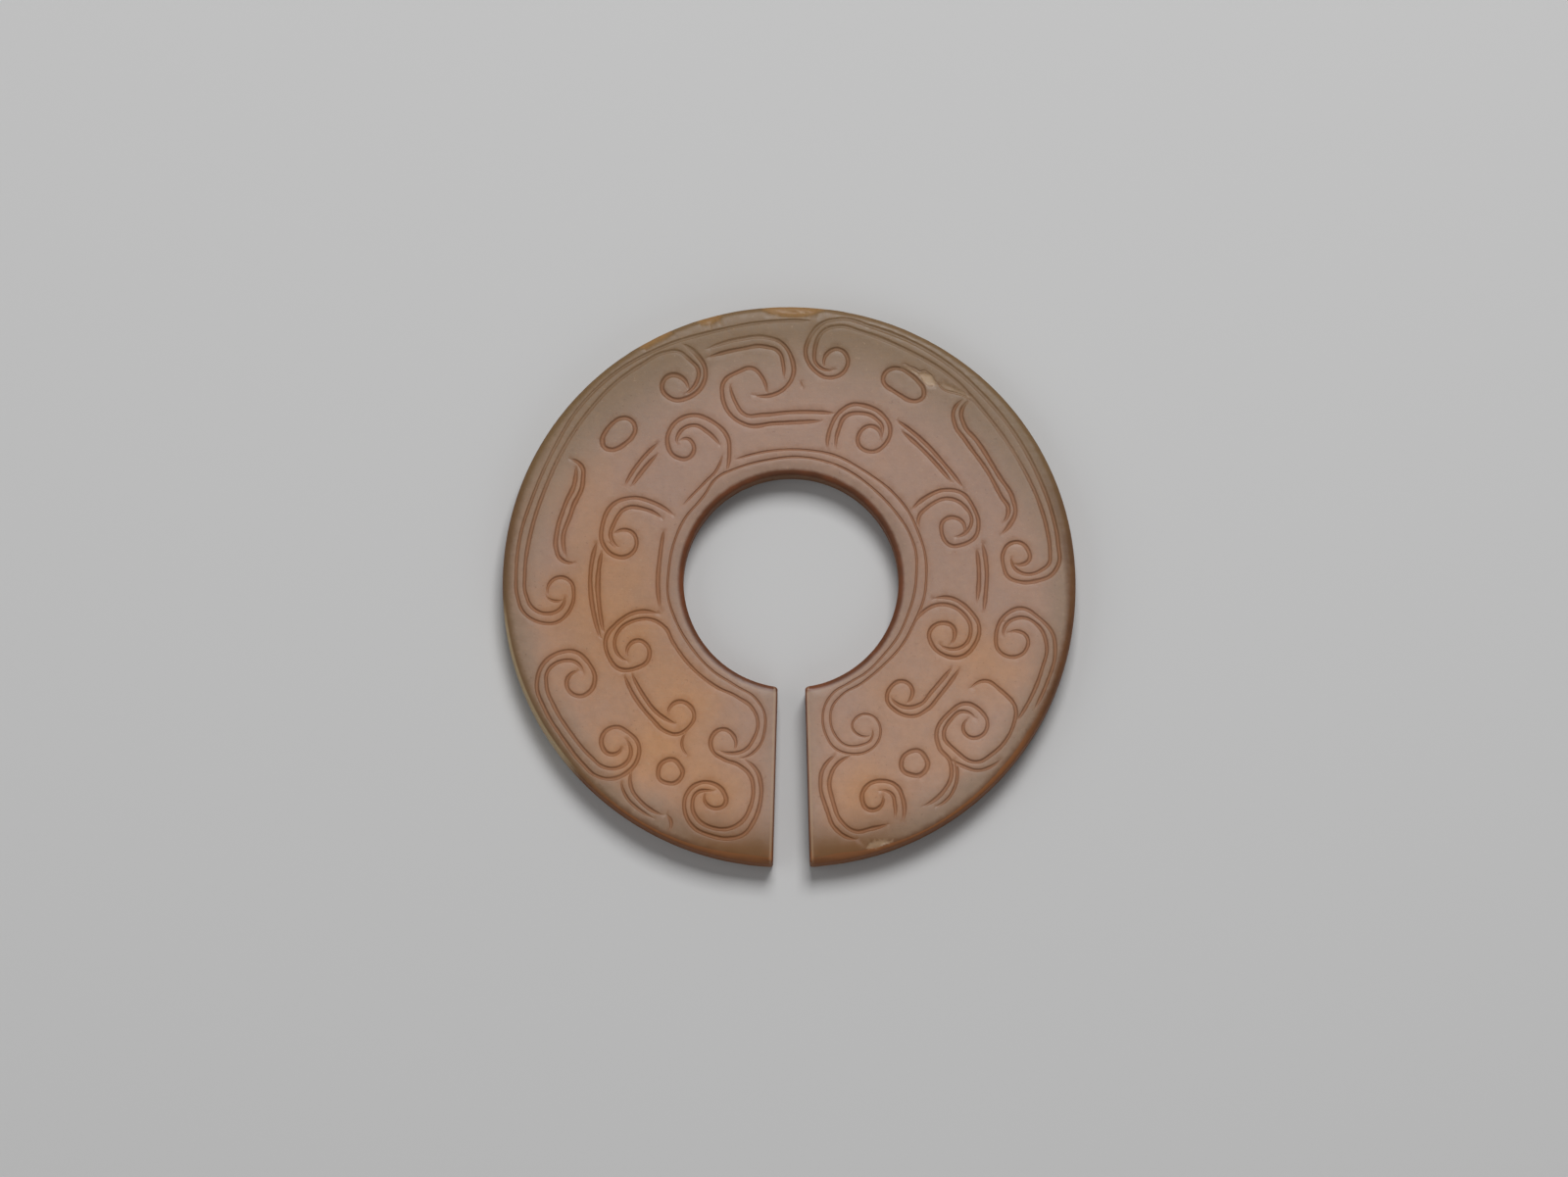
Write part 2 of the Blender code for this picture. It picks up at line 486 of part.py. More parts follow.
def scroll_cutter(name, line, width_share, collection, closed=False):
    """The bar that cuts one line, thinned to nothing at its open ends."""
    curve = bpy.data.curves.new(name, "CURVE")
    curve.dimensions = "3D"
    curve.twist_mode = "Z_UP"
    curve.bevel_depth = GROOVE_WIDTH / 2.0 * (1.0 + TOOL_LIFT)
    curve.bevel_resolution = 0
    curve.use_fill_caps = True
    spline = curve.splines.new("POLY")
    spline.points.add(len(line) - 1)
    spline.use_cyclic_u = closed
    lengths = [0.0]
    for before, here in zip(line, line[1:]):
        lengths.append(lengths[-1] + (here - before).length)
    for point, place, run in zip(spline.points, line, lengths):
        point.co = (place.x, place.y, 0.0, 1.0)
        nearest_end = min(run, lengths[-1] - run)
        taper = 1.0 if closed else min(1.0, nearest_end / TAPER_LENGTH)
        share = width_share * math.sqrt(taper) if taper > 0.0 else -TOOL_LIFT / 2.0
        point.radius = (share + TOOL_LIFT) / (1.0 + TOOL_LIFT)
    bar = bpy.data.objects.new(name, curve)
    bar.scale.z = GROOVE_DEPTH / (GROOVE_WIDTH / 2.0)
    bar.location.z = THICKNESS + TOOL_LIFT * GROOVE_DEPTH
    collection.objects.link(bar)
    return settle(bar, collection)


def eye_stations(centre, half_length, half_width, tilt):
    """Stations round an oval, in the drawing."""
    tilt = math.radians(tilt)
    stations = []
    for index in range(EYE_STATIONS):
        angle = math.tau * index / EYE_STATIONS
        along = half_length * math.cos(angle)
        across = half_width * math.sin(angle)
        stations.append((centre[0] + along * math.cos(tilt) - across * math.sin(tilt),
                         centre[1] + along * math.sin(tilt) + across * math.cos(tilt)))
    return stations


def scroll_cutters(collection):
    groups = {"rim_line": RIM_LINES, "hole_line": HOLE_LINES, "upper_scroll": UPPER_SCROLLS,
              "left_scroll": LEFT_SCROLLS, "right_scroll": RIGHT_SCROLLS, "dash": SHORT_DASHES}
    for group, lines in groups.items():
        for number, (width_share, stations) in enumerate(lines, 1):
            placed = [on_ring(x, y) for x, y in stations]
            scroll_cutter(f"{group}_{number}", thinned(smooth_line(placed)), width_share,
                          collection)
    for number, eye in enumerate(EYES, 1):
        placed = [on_ring(x, y) for x, y in eye_stations(*eye)]
        scroll_cutter(f"eye_{number}", placed, 1.0, collection, closed=True)


def chip_cutters(collection):
    """Flattened faceted balls that break shallow chips from the upper face and the rim."""
    for number, (centre, half_length, half_width, depth, tilt) in enumerate(CHIPS, 1):
        mesh = bpy.data.meshes.new(f"chip_{number}")
        shape = bmesh.new()
        bmesh.ops.create_icosphere(shape, subdivisions=1, radius=MM)
        shape.to_mesh(mesh)
        shape.free()
        chip = bpy.data.objects.new(mesh.name, mesh)
        place = on_ring(*centre)
        chip.location = (place.x, place.y, THICKNESS)
        chip.rotation_euler.z = math.radians(tilt)
        chip.scale = (half_length, half_width, depth)
        collection.objects.link(chip)


def jade():
    material = bpy.data.materials.new("jade")
    material.use_nodes = True
    shader = material.node_tree.nodes["Principled BSDF"]
    shader.inputs["Base Color"].default_value = JADE_COLOUR
    shader.inputs["Roughness"].default_value = JADE_ROUGHNESS
    shader.inputs["Metallic"].default_value = 0.0
    material.diffuse_color = JADE_COLOUR
    return material


def main():
    clear_scene()
    parts = new_collection("Jade slit ring")
    shaping_tools = new_collection("Shaping tools")
    scroll_tools = new_collection("Scroll tools")
    ring = disc(parts)
    cut(ring, hole_plug(shaping_tools))
    cut(ring, slit_wedge(shaping_tools))
    flatten(ring)
    scroll_cutters(scroll_tools)
    chip_cutters(scroll_tools)
    cut(ring, scroll_tools)
    ring = settle(ring, parts)
    ring.data.materials.append(jade())
    ring.data.shade_smooth()
    ring.data.set_sharp_from_angle(angle=math.radians(35.0))
    for tool in list(shaping_tools.objects) + list(scroll_tools.objects):
        tool.hide_render = True
        tool.display_type = "WIRE"


main()
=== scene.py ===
"""The jade slit ring's looks: one fine mesh of the carved ring, its worn jade material, a pale
floor and soft studio light. Lengths in the carving are in millimetres until the mesh is made."""

import math
import random

import bpy
import numpy as np
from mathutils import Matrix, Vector, noise
from mathutils.geometry import delaunay_2d_cdt
from mathutils.kdtree import KDTree


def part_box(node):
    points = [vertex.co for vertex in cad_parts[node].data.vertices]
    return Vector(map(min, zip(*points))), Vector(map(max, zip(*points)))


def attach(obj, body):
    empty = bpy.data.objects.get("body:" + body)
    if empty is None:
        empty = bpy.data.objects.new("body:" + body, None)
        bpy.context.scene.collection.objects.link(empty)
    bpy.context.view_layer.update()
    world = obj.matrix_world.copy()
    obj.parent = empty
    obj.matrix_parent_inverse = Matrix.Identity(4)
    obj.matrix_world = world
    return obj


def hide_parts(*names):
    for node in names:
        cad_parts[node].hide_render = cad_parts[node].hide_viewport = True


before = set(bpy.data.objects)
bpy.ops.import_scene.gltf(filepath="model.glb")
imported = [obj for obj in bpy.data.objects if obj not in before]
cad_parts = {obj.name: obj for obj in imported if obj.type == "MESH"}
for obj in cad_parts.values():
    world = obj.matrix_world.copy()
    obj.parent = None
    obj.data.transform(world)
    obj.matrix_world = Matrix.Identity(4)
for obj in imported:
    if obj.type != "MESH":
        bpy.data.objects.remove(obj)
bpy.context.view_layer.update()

MM = 0.001
RING_LOW, RING_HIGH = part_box("slit_ring")

# The ring, in millimetres, from the frame's box and the same sizes as the solid's
RIM_X = (RING_HIGH[0] - RING_LOW[0]) / 2.0 / MM
RIM_Y = RING_HIGH[1] / MM
THICKNESS = (RING_HIGH[2] - RING_LOW[2]) / MM
HOLE_RADIUS = 8.62
HOLE_CENTRE = (0.15, 0.31)
SLIT_AT_HOLE = 2.2
SLIT_AT_RIM = 2.95
SLIT_X = 0.18
FAR_FROM_SLIT = 50.0
SAFE = 0.01
# The rim is a little fuller than an ellipse, but for the quarter at the front left
ELLIPSE = 2.0
RIM_FULLNESS = 2.03

# The cut lines
GROOVE_HALF = 0.17
GROOVE_DEPTH = 0.13
TAPER_LENGTH = 1.0
STAIN_REACH = 0.9
LINE_STEP = 0.16
SAMPLE_STEP = 0.04
ACROSS_LINE = (0.0, 0.52, 0.76, 1.0, 1.32)
WIDEST_REACH = 0.36

# How fine the mesh is
FILL_STEP = 0.38
CHIP_STEP = 0.1
CONTOUR_STEP = 0.22
UNDERSIDE_STEP = 1.1
ROW_SHARE = 0.9

# The edges: how wide they are rounded, and how far the face falls on its way to them
RIM_ROUND = 0.5
HOLE_ROUND = 0.45
SLIT_ROUND = 0.17
CORNER_ROUND = 0.3
FACE_FALL = 0.07
SLIT_FALL = 0.02
FALL_WIDTH = 0.9
BEVEL_SHARE = 0.08
FRONT_BEVEL_SHARE = 0.27
FRONT_ROUND = 0.14
FRONT_FACET = 0.60
FACET_REACH = 6.5
EDGE_ROWS = [1.0 - math.cos(math.radians(angle)) for angle in (0, 12, 24, 38, 54, 72, 90)]
WALL_ROWS = 5


def linear(red, green, blue):
    """A colour as it is seen, 0..255, made into the shader's numbers."""
    def one(value):
        value /= 255.0
        return value / 12.92 if value <= 0.04045 else ((value + 0.055) / 1.055) ** 2.4
    return (one(red), one(green), one(blue), 1.0)


# The jade's colours, as they are seen in even light, with those of its painted sheen, shade and
# highlights
WARM = linear(167, 121, 82)
PINK = linear(152, 121, 103)
OLIVE = linear(122, 96, 67)
GREENISH_RIM_SHADE = linear(134, 111, 90)
PALE_TONE_AND_SHEEN = linear(141, 116, 99)
GROOVE = linear(142, 86, 42)
OLIVE_CUT = linear(104, 77, 49)
GROOVE_WALL = linear(98, 54, 22)
RIM_BROWN = linear(102, 64, 34)
FRONT_BROWN = linear(116, 78, 40)
EDGE_BROWN = linear(132, 82, 42)
RIM_DARK = linear(74, 42, 20)
BORE_BROWN = linear(86, 48, 22)
BORE_RED = linear(122, 64, 30)
WALL_BROWN = linear(120, 72, 34)
TOP_RIM_AND_LEFT_HIGHLIGHT = linear(112, 86, 54)
AMBER = linear(138, 102, 58)
LIT_EDGE = linear(190, 168, 132)
CREAM = linear(176, 148, 118)

# The stage and the camera
FLOOR_COLOUR = (0.55, 0.55, 0.55, 1.0)
FLOOR_HALF = 3.0
FLOOR_GAP = 0.02
CAMERA_TILT = 9.0
CAMERA_DISTANCE = 2.0
LENS_PER_METRE = 286.2

# Each line is its width, as a share of the widest, and the stations that it passes through
RIM_LINES = [
    (0.72, [(1.8, 21.45), (-2, 21.35), (-6, 20.6), (-10, 19.4), (-14, 17.2), (-17, 14.2),
        (-19, 10.8), (-20.64, 6.98), (-21.55, 4.08), (-21.9, 1), (-21.83, -0.83),
        (-21.24, -2.33), (-20.03, -3.07), (-18.65, -3.07), (-17.7, -2.24), (-17.27, -0.83),
        (-17.53, 0.22), (-18.4, 0.59), (-19.2, 0.13), (-19.34, -0.83)]),
    (0.8, [(-8.3, 15.55), (-7.42, 16.5), (-7.28, 17.4), (-8, 18.3), (-9, 18.98), (-10, 18.87),
        (-12, 17.8), (-14, 16.35), (-16, 14.2), (-18.1, 11.05), (-19.5, 8.03),
        (-20.68, 4.43), (-21.2, 1), (-21.13, -0.75), (-20.5, -1.97), (-19.43, -2.37),
        (-18.4, -2), (-17.98, -0.96)]),
    (1.0, [(-8.55, 19.55), (-7.5, 18.8), (-6.72, 17.4), (-6.87, 16.4), (-8, 15.25),
        (-9.43, 15.1), (-10.22, 16.1), (-9.63, 17), (-8.65, 16.85), (-8.1, 15.9)]),
    (0.8, [(-19.47, -1), (-18.65, -1.36), (-18.2, -1.27)]),
    (0.85, [(18, 1.7), (18.6, 1.6), (19.27, 2.05), (19.15, 2.85), (18.5, 3.42), (17.6, 3.25),
        (17.15, 2.5), (17.2, 1.5), (17.6, 0.6), (18.5, 0.22), (20, 0.33), (21, 0.75),
        (21.55, 1.5), (21.57, 3.5), (21.08, 5.9), (20, 8.82), (18.4, 11.83), (16, 14.95),
        (13, 17.77), (10, 19.65), (7, 20.85), (4, 21.6), (2.65, 21.25), (1.67, 20.15),
        (1.32, 18.8), (1.86, 17.6), (3.44, 16.83), (4.43, 17.35), (4.7, 18.4), (4, 19.15),
        (3.05, 18.8), (2.85, 17.7)]),
    (0.8, [(17.83, 2.2), (18.15, 1.26), (19, 0.84), (20.15, 1.12), (20.9, 1.83), (20.94, 2.5),
        (20.66, 4.66), (20, 6.84), (18.57, 9.85), (16, 13.62), (13, 16.88), (9, 19.3),
        (6, 20.5), (4, 21), (2.95, 20.75), (2.06, 19.1), (2.16, 18), (3.5, 17.45)]),
]

HOLE_LINES = [
    (0.6, [(-4.36, 10.15), (-2, 10.78), (1, 10.95), (3.64, 10.5), (6, 9.25), (8.3, 7.5),
        (9.47, 6.1), (10.38, 4.2), (10.9, 2.5), (11, 0.5), (10.81, -1.1), (10.1, -2.95),
        (9.04, -4.92), (7.52, -6.6), (5.8, -8.02), (4.24, -8.96), (3.45, -9.95),
        (3.3, -11), (3.64, -12.14), (4.52, -13.02), (5.81, -13.02), (6.55, -12.6),
        (6.65, -11.72)]),
    (0.6, [(4.03, 9.6), (1, 10.35), (-2, 10.07), (-4.2, 9.45), (-5.7, 8.75), (-7, 7.02),
        (-8.43, 5.27), (-9.27, 3.3), (-9.68, 1), (-9.73, -0.83), (-9.06, -3),
        (-7.8, -5.18), (-6.19, -6.96), (-4.4, -8.15), (-2.7, -9.24), (-1.97, -10.47),
        (-1.93, -11.65), (-2.6, -13.37), (-3.5, -14), (-4.03, -14.1)]),
    (0.6, [(3, 10), (5, 9.1), (6.5, 8), (8.45, 6), (9.64, 4.2), (10.15, 2.73), (10.22, 1),
        (10, -0.9), (9.5, -2.5), (8.8, -4.08), (7.62, -5.67), (6.14, -7.17),
        (4.88, -7.94), (3.46, -8.87), (2.81, -9.99), (2.69, -11.1), (2.95, -12.2),
        (3.69, -13.3), (4.79, -13.73), (6.27, -13.54), (7.19, -12.6), (7.28, -11.48),
        (6.73, -10.69), (5.53, -10.69), (5.05, -11.48), (5.62, -12.23), (6.54, -12.25)]),
]

UPPER_SCROLLS = [
    (1.0, [(-6.48, 19.2), (-4, 19.95), (-2, 20.13), (-0.65, 19.7), (0.18, 18.5), (0.31, 17),
        (-0.26, 16.05), (-1.64, 15.35), (-2.73, 15.38)]),
    (0.9, [(-6.48, 18.5), (-4, 19.15), (-2, 19.37), (-0.85, 18.95), (-0.46, 17.8),
        (-0.44, 16.85)]),
    (1.0, [(-1.8, 15.6), (-2.13, 16.8), (-3, 17.6), (-4.1, 17.3), (-5.24, 16.5),
        (-5.34, 15.2), (-4.7, 13.8), (-3.52, 13.02), (-1, 13.12), (2.6, 13.3)]),
    (0.95, [(-4.74, 16.25), (-4.35, 14.9), (-3.6, 13.85), (-2, 13.8), (0, 14), (3.64, 13.92)]),
    (1.0, [(-5, 9.3), (-4.8, 10.5), (-5, 12.1), (-6.08, 13.2), (-8, 13.75), (-9.34, 12.95),
        (-9.78, 11.6), (-9.14, 10.4), (-8, 10.35), (-7.66, 11.3), (-8.35, 11.88),
        (-8.75, 11.7)]),
    (1.0, [(-9.04, 11.5), (-8.65, 12.55), (-7.76, 12.95), (-6.48, 12.35), (-5.58, 11.35)]),
    (0.6, [(-5.34, 10.6), (-5.78, 9.4), (-6.87, 8.2), (-8, 7.02), (-8.56, 6.4)]),
    (1.0, [(3.07, 11.1), (3.3, 12.7), (4.08, 14.05), (5.12, 14.65), (6.1, 14.55),
        (7.4, 13.9), (8.12, 12.7), (7.7, 11.4), (6.6, 10.8), (5.56, 11.45), (5.7, 12.4),
        (6.5, 12.9), (7.34, 12.3), (7.37, 11.8)]),
    (0.95, [(3.74, 11.1), (3.94, 12.5), (4.63, 13.75), (5.7, 13.95), (6.9, 13.55),
        (7.5, 12.7), (7.44, 12.2)]),
]

LEFT_SCROLLS = [
    (1.1, [(-17.1, 9.6), (-17.22, 8.27), (-18, 6.43), (-18.6, 4.5), (-18.7, 2.94),
        (-18.4, 2.15), (-17.27, 1.77)]),
    (1.1, [(-17.55, 10.18), (-16.65, 9.6), (-16.55, 8.45), (-17.44, 6), (-18.13, 3.38),
        (-17.92, 2.33)]),
    (1.0, [(-9.3, 5.65), (-10.76, 6.6), (-12.67, 7.05), (-14.06, 6.58), (-14.98, 4.87),
        (-14.98, 3.38), (-14.15, 2.4), (-13, 2.3), (-12.24, 3.3), (-12.55, 4.2),
        (-13.46, 4.43), (-13.98, 4.17)]),
    (0.95, [(-10.2, 5.4), (-11.46, 6.1), (-13.2, 6.14), (-14, 5.1), (-14.28, 3.73),
        (-13.7, 3.03)]),
    (1.0, [(-10.6, -2.35), (-12, -2.2), (-13.85, -3.18), (-14.7, -4.4), (-14.5, -5.8),
        (-13.58, -6.87), (-12.37, -6.82), (-11.3, -6.08), (-11.33, -5.03),
        (-12.2, -4.54), (-12.93, -5.1), (-13, -5.73)]),
    (0.85, [(-13, -6.2), (-13.7, -5.7), (-14, -4.8), (-13.5, -3.55), (-12.5, -2.95),
        (-11, -2.85), (-10, -3.45), (-9.23, -4.83), (-7.8, -6.73), (-6, -8.2),
        (-4.13, -9.15), (-3, -9.97), (-2.5, -11.28), (-2.82, -12.46), (-3.54, -13.42),
        (-4.58, -13.7), (-5.57, -13.5)]),
    (1.0, [(-17, -7.04), (-17.78, -7.66), (-17.7, -8.54), (-16.87, -9.06), (-15.92, -8.62),
        (-15.57, -7.57), (-16.1, -6.34), (-17.13, -5.47), (-18.5, -5.55),
        (-19.64, -6.34), (-20.23, -8.1), (-19.55, -10.2), (-18.16, -12.44),
        (-16.6, -14.5), (-15.5, -15.5), (-14.27, -15.77), (-13.06, -15.3),
        (-12.16, -14.2), (-12.1, -12.92), (-12.9, -12), (-13.93, -11.56),
        (-14.84, -12.04), (-15, -13.1), (-14.45, -13.75), (-13.4, -13.2)]),
    (0.95, [(-16.52, -7.1), (-17.13, -6.3), (-18.08, -6.18), (-19.4, -7.13), (-19.46, -8.2),
        (-18.77, -10.03), (-17.5, -12.05), (-15.9, -13.97), (-14.88, -14.8),
        (-13.84, -14.9), (-12.9, -14.28), (-12.7, -13.27), (-13.05, -12.6)]),
    (1.0, [(-13.2, -7.37), (-12.56, -8.83), (-11, -10.92), (-10, -11.87), (-9, -12.15),
        (-8.07, -11.6), (-7.6, -10.65), (-7.98, -9.83), (-8.88, -9.5), (-9.7, -10.47)]),
    (1.0, [(-12.6, -7.24), (-11.84, -8.74), (-10.5, -10.47), (-9.1, -11.3)]),
    (0.7, [(-8.2, -12), (-8.6, -13), (-8.34, -13.65), (-8.14, -13.87)]),
    (1.0, [(-4.36, -13.37), (-4.5, -12.2), (-5.4, -11.74), (-6.24, -12.47), (-6.1, -13.56),
        (-5.2, -14.2), (-4.04, -14.65), (-3.1, -15.55), (-2.87, -16.74), (-3.1, -18),
        (-3.77, -19.2), (-4.85, -19.8), (-6.1, -19.74), (-7.27, -19.1), (-7.76, -18),
        (-7.36, -16.87), (-6.46, -16.7), (-6.06, -16.74)]),
    (1.0, [(-3.5, -14.28), (-2.6, -15.1), (-2.24, -16.37), (-2.33, -17.74), (-2.78, -19.1),
        (-3.68, -20.28), (-4.85, -20.6), (-6.28, -20.37), (-7.7, -19.65),
        (-8.34, -18.46), (-8.3, -17.2), (-7.45, -16.2), (-6.2, -16.1), (-5.25, -16.83),
        (-5.1, -17.74), (-6, -18.15), (-6.78, -17.47), (-6.73, -16.97)]),
]

RIGHT_SCROLLS = [
    (1.0, [(13.93, 15), (13.2, 14.1), (13.33, 12.97), (14.2, 11.65), (15.98, 9.1), (17, 7.2),
        (17.6, 6.1), (17.18, 5.04)]),
    (1.1, [(14.5, 14.95), (13.84, 14.1), (14.07, 12.97), (15.14, 11.6), (16.8, 8.92),
        (17.95, 7), (18.15, 5.8), (17.64, 4.75), (17.04, 4.1)]),
    (1.0, [(9.88, 6.12), (11, 7.11), (12.6, 7.7), (13.93, 7.4), (14.81, 6.26),
        (15.2, 4.94), (14.95, 3.9), (13.93, 3.25), (12.9, 3.2), (12.27, 4.09),
        (12.44, 5.23), (13.37, 5.42), (14.07, 4.8), (14.05, 4.2)]),
    (0.9, [(10.45, 4.6), (10.39, 5.42), (11.14, 6.31), (13, 6.97), (14, 6.45),
        (14.62, 4.94), (14.02, 4.1), (13.32, 3.86)]),
    (1.0, [(11.65, -1.14), (12.7, -1.05), (14.39, -2), (15.25, -3.55), (14.95, -4.77),
        (13.69, -5.9), (12.5, -5.76), (11.5, -4.95), (11.3, -3.75), (12.3, -3.12),
        (13.14, -3.45), (13.23, -4.36), (12.96, -4.83)]),
    (0.95, [(9.9, -3.34), (10.56, -2.4), (12.04, -1.62), (13.8, -2.2), (14.57, -3.7),
        (14.06, -4.92), (13.14, -5.25), (12.13, -4.92)]),
    (0.9, [(19.7, -10.04), (20.64, -8.06), (21.34, -5.4), (21.2, -4.15), (20.15, -2.8),
        (18.39, -1.94), (17.36, -2.46), (16.6, -4), (16.9, -5.46), (17.94, -5.89),
        (18.92, -5.4), (19.04, -4.2), (18.3, -3.78), (17.6, -3.92)]),
    (0.9, [(17.18, -4.2), (17.4, -3.26), (18.39, -2.7), (20.15, -3.55), (20.64, -4.85),
        (20.2, -7.1), (18.97, -9.94), (18.3, -11)]),
    (1.0, [(13.02, -6.78), (11.48, -8.63), (10.45, -9.75), (9.3, -9.95), (8.16, -9.2)]),
    (1.0, [(13.67, -6.83), (12.13, -8.93), (11.1, -10.12), (9.98, -10.68), (8.7, -10.35),
        (7.83, -9.24), (8.16, -8.3), (8.94, -7.84), (9.86, -8.45), (9.7, -9.34),
        (9.45, -9.63)]),
    (0.95, [(14.6, -8.39), (15.43, -7.85), (17.1, -8.7), (18.18, -10.2), (17.99, -11.36),
        (16.46, -13.6), (14.9, -14.4), (13.4, -13.53), (12.4, -12.1), (12.93, -10.98),
        (13.86, -10.3), (14.9, -10.84)]),
    (0.95, [(14.35, -10.9), (13.95, -11.74), (14.5, -12.4), (15.43, -12.25),
        (15.9, -11.26), (15.34, -10.23), (14.2, -9.65), (12.83, -10.4), (11.8, -12.1),
        (12, -13.15), (12.93, -14.47), (12.97, -15.6), (12.39, -16.73),
        (10.77, -17.96)]),
    (0.85, [(13.2, -14.19), (13.46, -15.1), (13.3, -16.36), (12.3, -17.73), (11.76, -18)]),
    (0.85, [(12.85, -14.15), (13.95, -14.75), (15.06, -15.08), (16.36, -14.66),
        (16.9, -14.24)]),
    (1.0, [(3.64, -13.91), (2.69, -15), (2.51, -16.27), (2.96, -18.1), (3.77, -19.87),
        (4.76, -20.55), (5.39, -20.68)]),
    (1.0, [(4.85, -13.95), (3.86, -14.55), (3.25, -15.8), (3.5, -17.55), (4.17, -19.19),
        (5.15, -19.98), (6.73, -19.77), (7.9, -19.45)]),
    (1.1, [(7.5, -17.14), (7.32, -18), (6.46, -18.28), (5.83, -17.3), (6.19, -16.37),
        (7.36, -15.92), (8.53, -16.28), (9.15, -17.5), (9.11, -19.1)]),
    (1.0, [(7.32, -16.73), (8.08, -16.87), (8.5, -18), (8.48, -18.9)]),
]

SHORT_DASHES = [
    (1.0, [(-10.56, 11.47), (-12.16, 9.77), (-13.16, 8.1)]),
    (1.0, [(-10.56, 10.64), (-11.9, 9.07), (-12.64, 8)]),
    (1.0, [(8.72, 13.3), (10.87, 11.55), (12.53, 9.7), (13.93, 7.93)]),
    (1.0, [(9.06, 12.45), (10.87, 10.8), (13, 8.35)]),
    (1.1, [(-15.45, 3.38), (-15.93, 1), (-15.9, -0.83), (-15.5, -3.1), (-15.15, -4.3)]),
    (1.1, [(-15.02, 2.68), (-15.35, 0), (-15.24, -1.7), (-14.9, -3.8)]),
    (1.1, [(15.04, 2.87), (15.23, 0.8), (15.06, -1.38)]),
    (1.1, [(15.5, 3.34), (15.86, 0.98), (15.78, -0.62), (15.6, -2.2)]),
    (1.0, [(-10.05, 4.4), (-10.4, 2), (-10.53, 0.3), (-10.35, -1.9)]),
    (0.9, [(-12.65, -15.1), (-12.7, -16.28), (-11.66, -17.83), (-10.13, -18.7)]),
    (0.85, [(-13.46, -16), (-13, -17.28), (-12.1, -18.2), (-10.85, -18.97)]),
    (1.0, [(-9.82, -18.65), (-9.46, -19.3), (-9.6, -19.92)]),
]

# The long eyes at the top are stations on a closed line; each round eye is its centre and radii
LONG_EYES = [
    [(-15.0, 11.8), (-14.7, 12.5), (-14.2, 13.1), (-13.6, 13.5), (-13.0, 13.52), (-12.5, 13.15),
     (-12.35, 12.6), (-12.6, 12.0), (-13.1, 11.5), (-13.7, 11.1), (-14.3, 10.95), (-14.85, 11.2)],
    [(7.55, 16.6), (7.75, 17.25), (8.4, 17.6), (9.1, 17.5), (9.7, 17.15), (10.35, 16.55),
     (10.8, 15.9), (10.78, 15.3), (10.25, 14.93), (9.6, 15.0), (9.0, 15.35), (8.3, 15.8),
     (7.75, 16.2)],
]
ROUND_EYES = [
    ((-9.54, -15.19), 0.98, 0.98),
    ((10.04, -14.5), 1.06, 1.02),
]

# Where the stone has broken away, as outlines: depth, width of the broken edge, how amber and
# how pale the break is, and the corners of the outline
SCARS = [
    (0.20, 0.30, 1.0, 0.0, [(-12.7, 19.5), (-10.6, 21.2), (-9.5, 21.4), (-9.3, 20.4),
        (-10.0, 19.95), (-10.6, 19.65), (-11.6, 19.1)]),
    (0.20, 0.30, 0.9, 0.0, [(-7.8, 22.6), (-7.6, 21.45), (-7.0, 21.05), (-6.3, 21.1),
        (-5.5, 21.5), (-5.2, 22.7)]),
    (0.24, 0.35, 1.0, 0.0, [(-2.4, 23.1), (-2.2, 22.3), (-1.4, 21.95), (-0.4, 21.75),
        (0.9, 21.7), (1.9, 21.9), (3.1, 22.4), (3.4, 23.1)]),
    (0.05, 0.10, 0.0, 0.5, [(8.9, 17.8), (9.7, 17.65), (10.45, 17.25), (10.3, 17.0),
        (9.6, 17.4), (9.0, 17.6)]),
    (0.11, 0.08, 0.0, 1.0, [(10.4, 17.2), (10.9, 17.3), (11.45, 17.05), (11.8, 16.5),
        (11.75, 16.2), (11.2, 16.15), (10.75, 16.5)]),
    (0.06, 0.12, 0.0, 0.35, [(11.9, 16.35), (12.4, 16.45), (12.9, 16.2), (13.4, 15.95),
        (14.0, 15.75), (14.6, 15.3), (14.36, 15.1), (13.7, 15.4),
        (12.75, 15.65), (12.2, 16.0)]),
    (0.06, 0.07, 0.0, 0.75, [(6.43, -20.9), (7.5, -20.67), (8.4, -20.85), (7.65, -21.1),
        (7.3, -21.3), (6.7, -21.45), (6.1, -21.4)]),
    (0.04, 0.05, 0.0, 1.0, [(7.2, -21.0), (7.5, -20.8), (7.85, -20.9), (7.5, -21.1)]),
]

# Where the stone is warmer in colour: centre, reach and strength
WARM_PATCHES = [
    ((-13.5, -3.5), 6.5, 0.9), ((-14.5, 2.5), 5.0, 0.6), ((-6.0, -17.0), 4.5, 0.8),
    ((-8.5, -9.5), 6.0, 0.8), ((-10.0, -14.0), 4.0, 0.5), ((-19.0, -1.5), 4.0, 0.5),
    ((-17.5, -8.0), 5.0, 0.35), ((-14.5, -14.5), 5.0, 0.7), ((-16.5, 8.0), 5.0, 0.4),
    ((16.0, -6.5), 4.5, 0.6), ((9.0, -9.0), 4.5, 0.4), ((6.0, -17.0), 5.0, 0.7),
    ((12.5, -4.0), 3.5, 0.4), ((17.8, 1.6), 2.5, 0.3), ((12.0, -14.0), 4.0, 0.3),
]

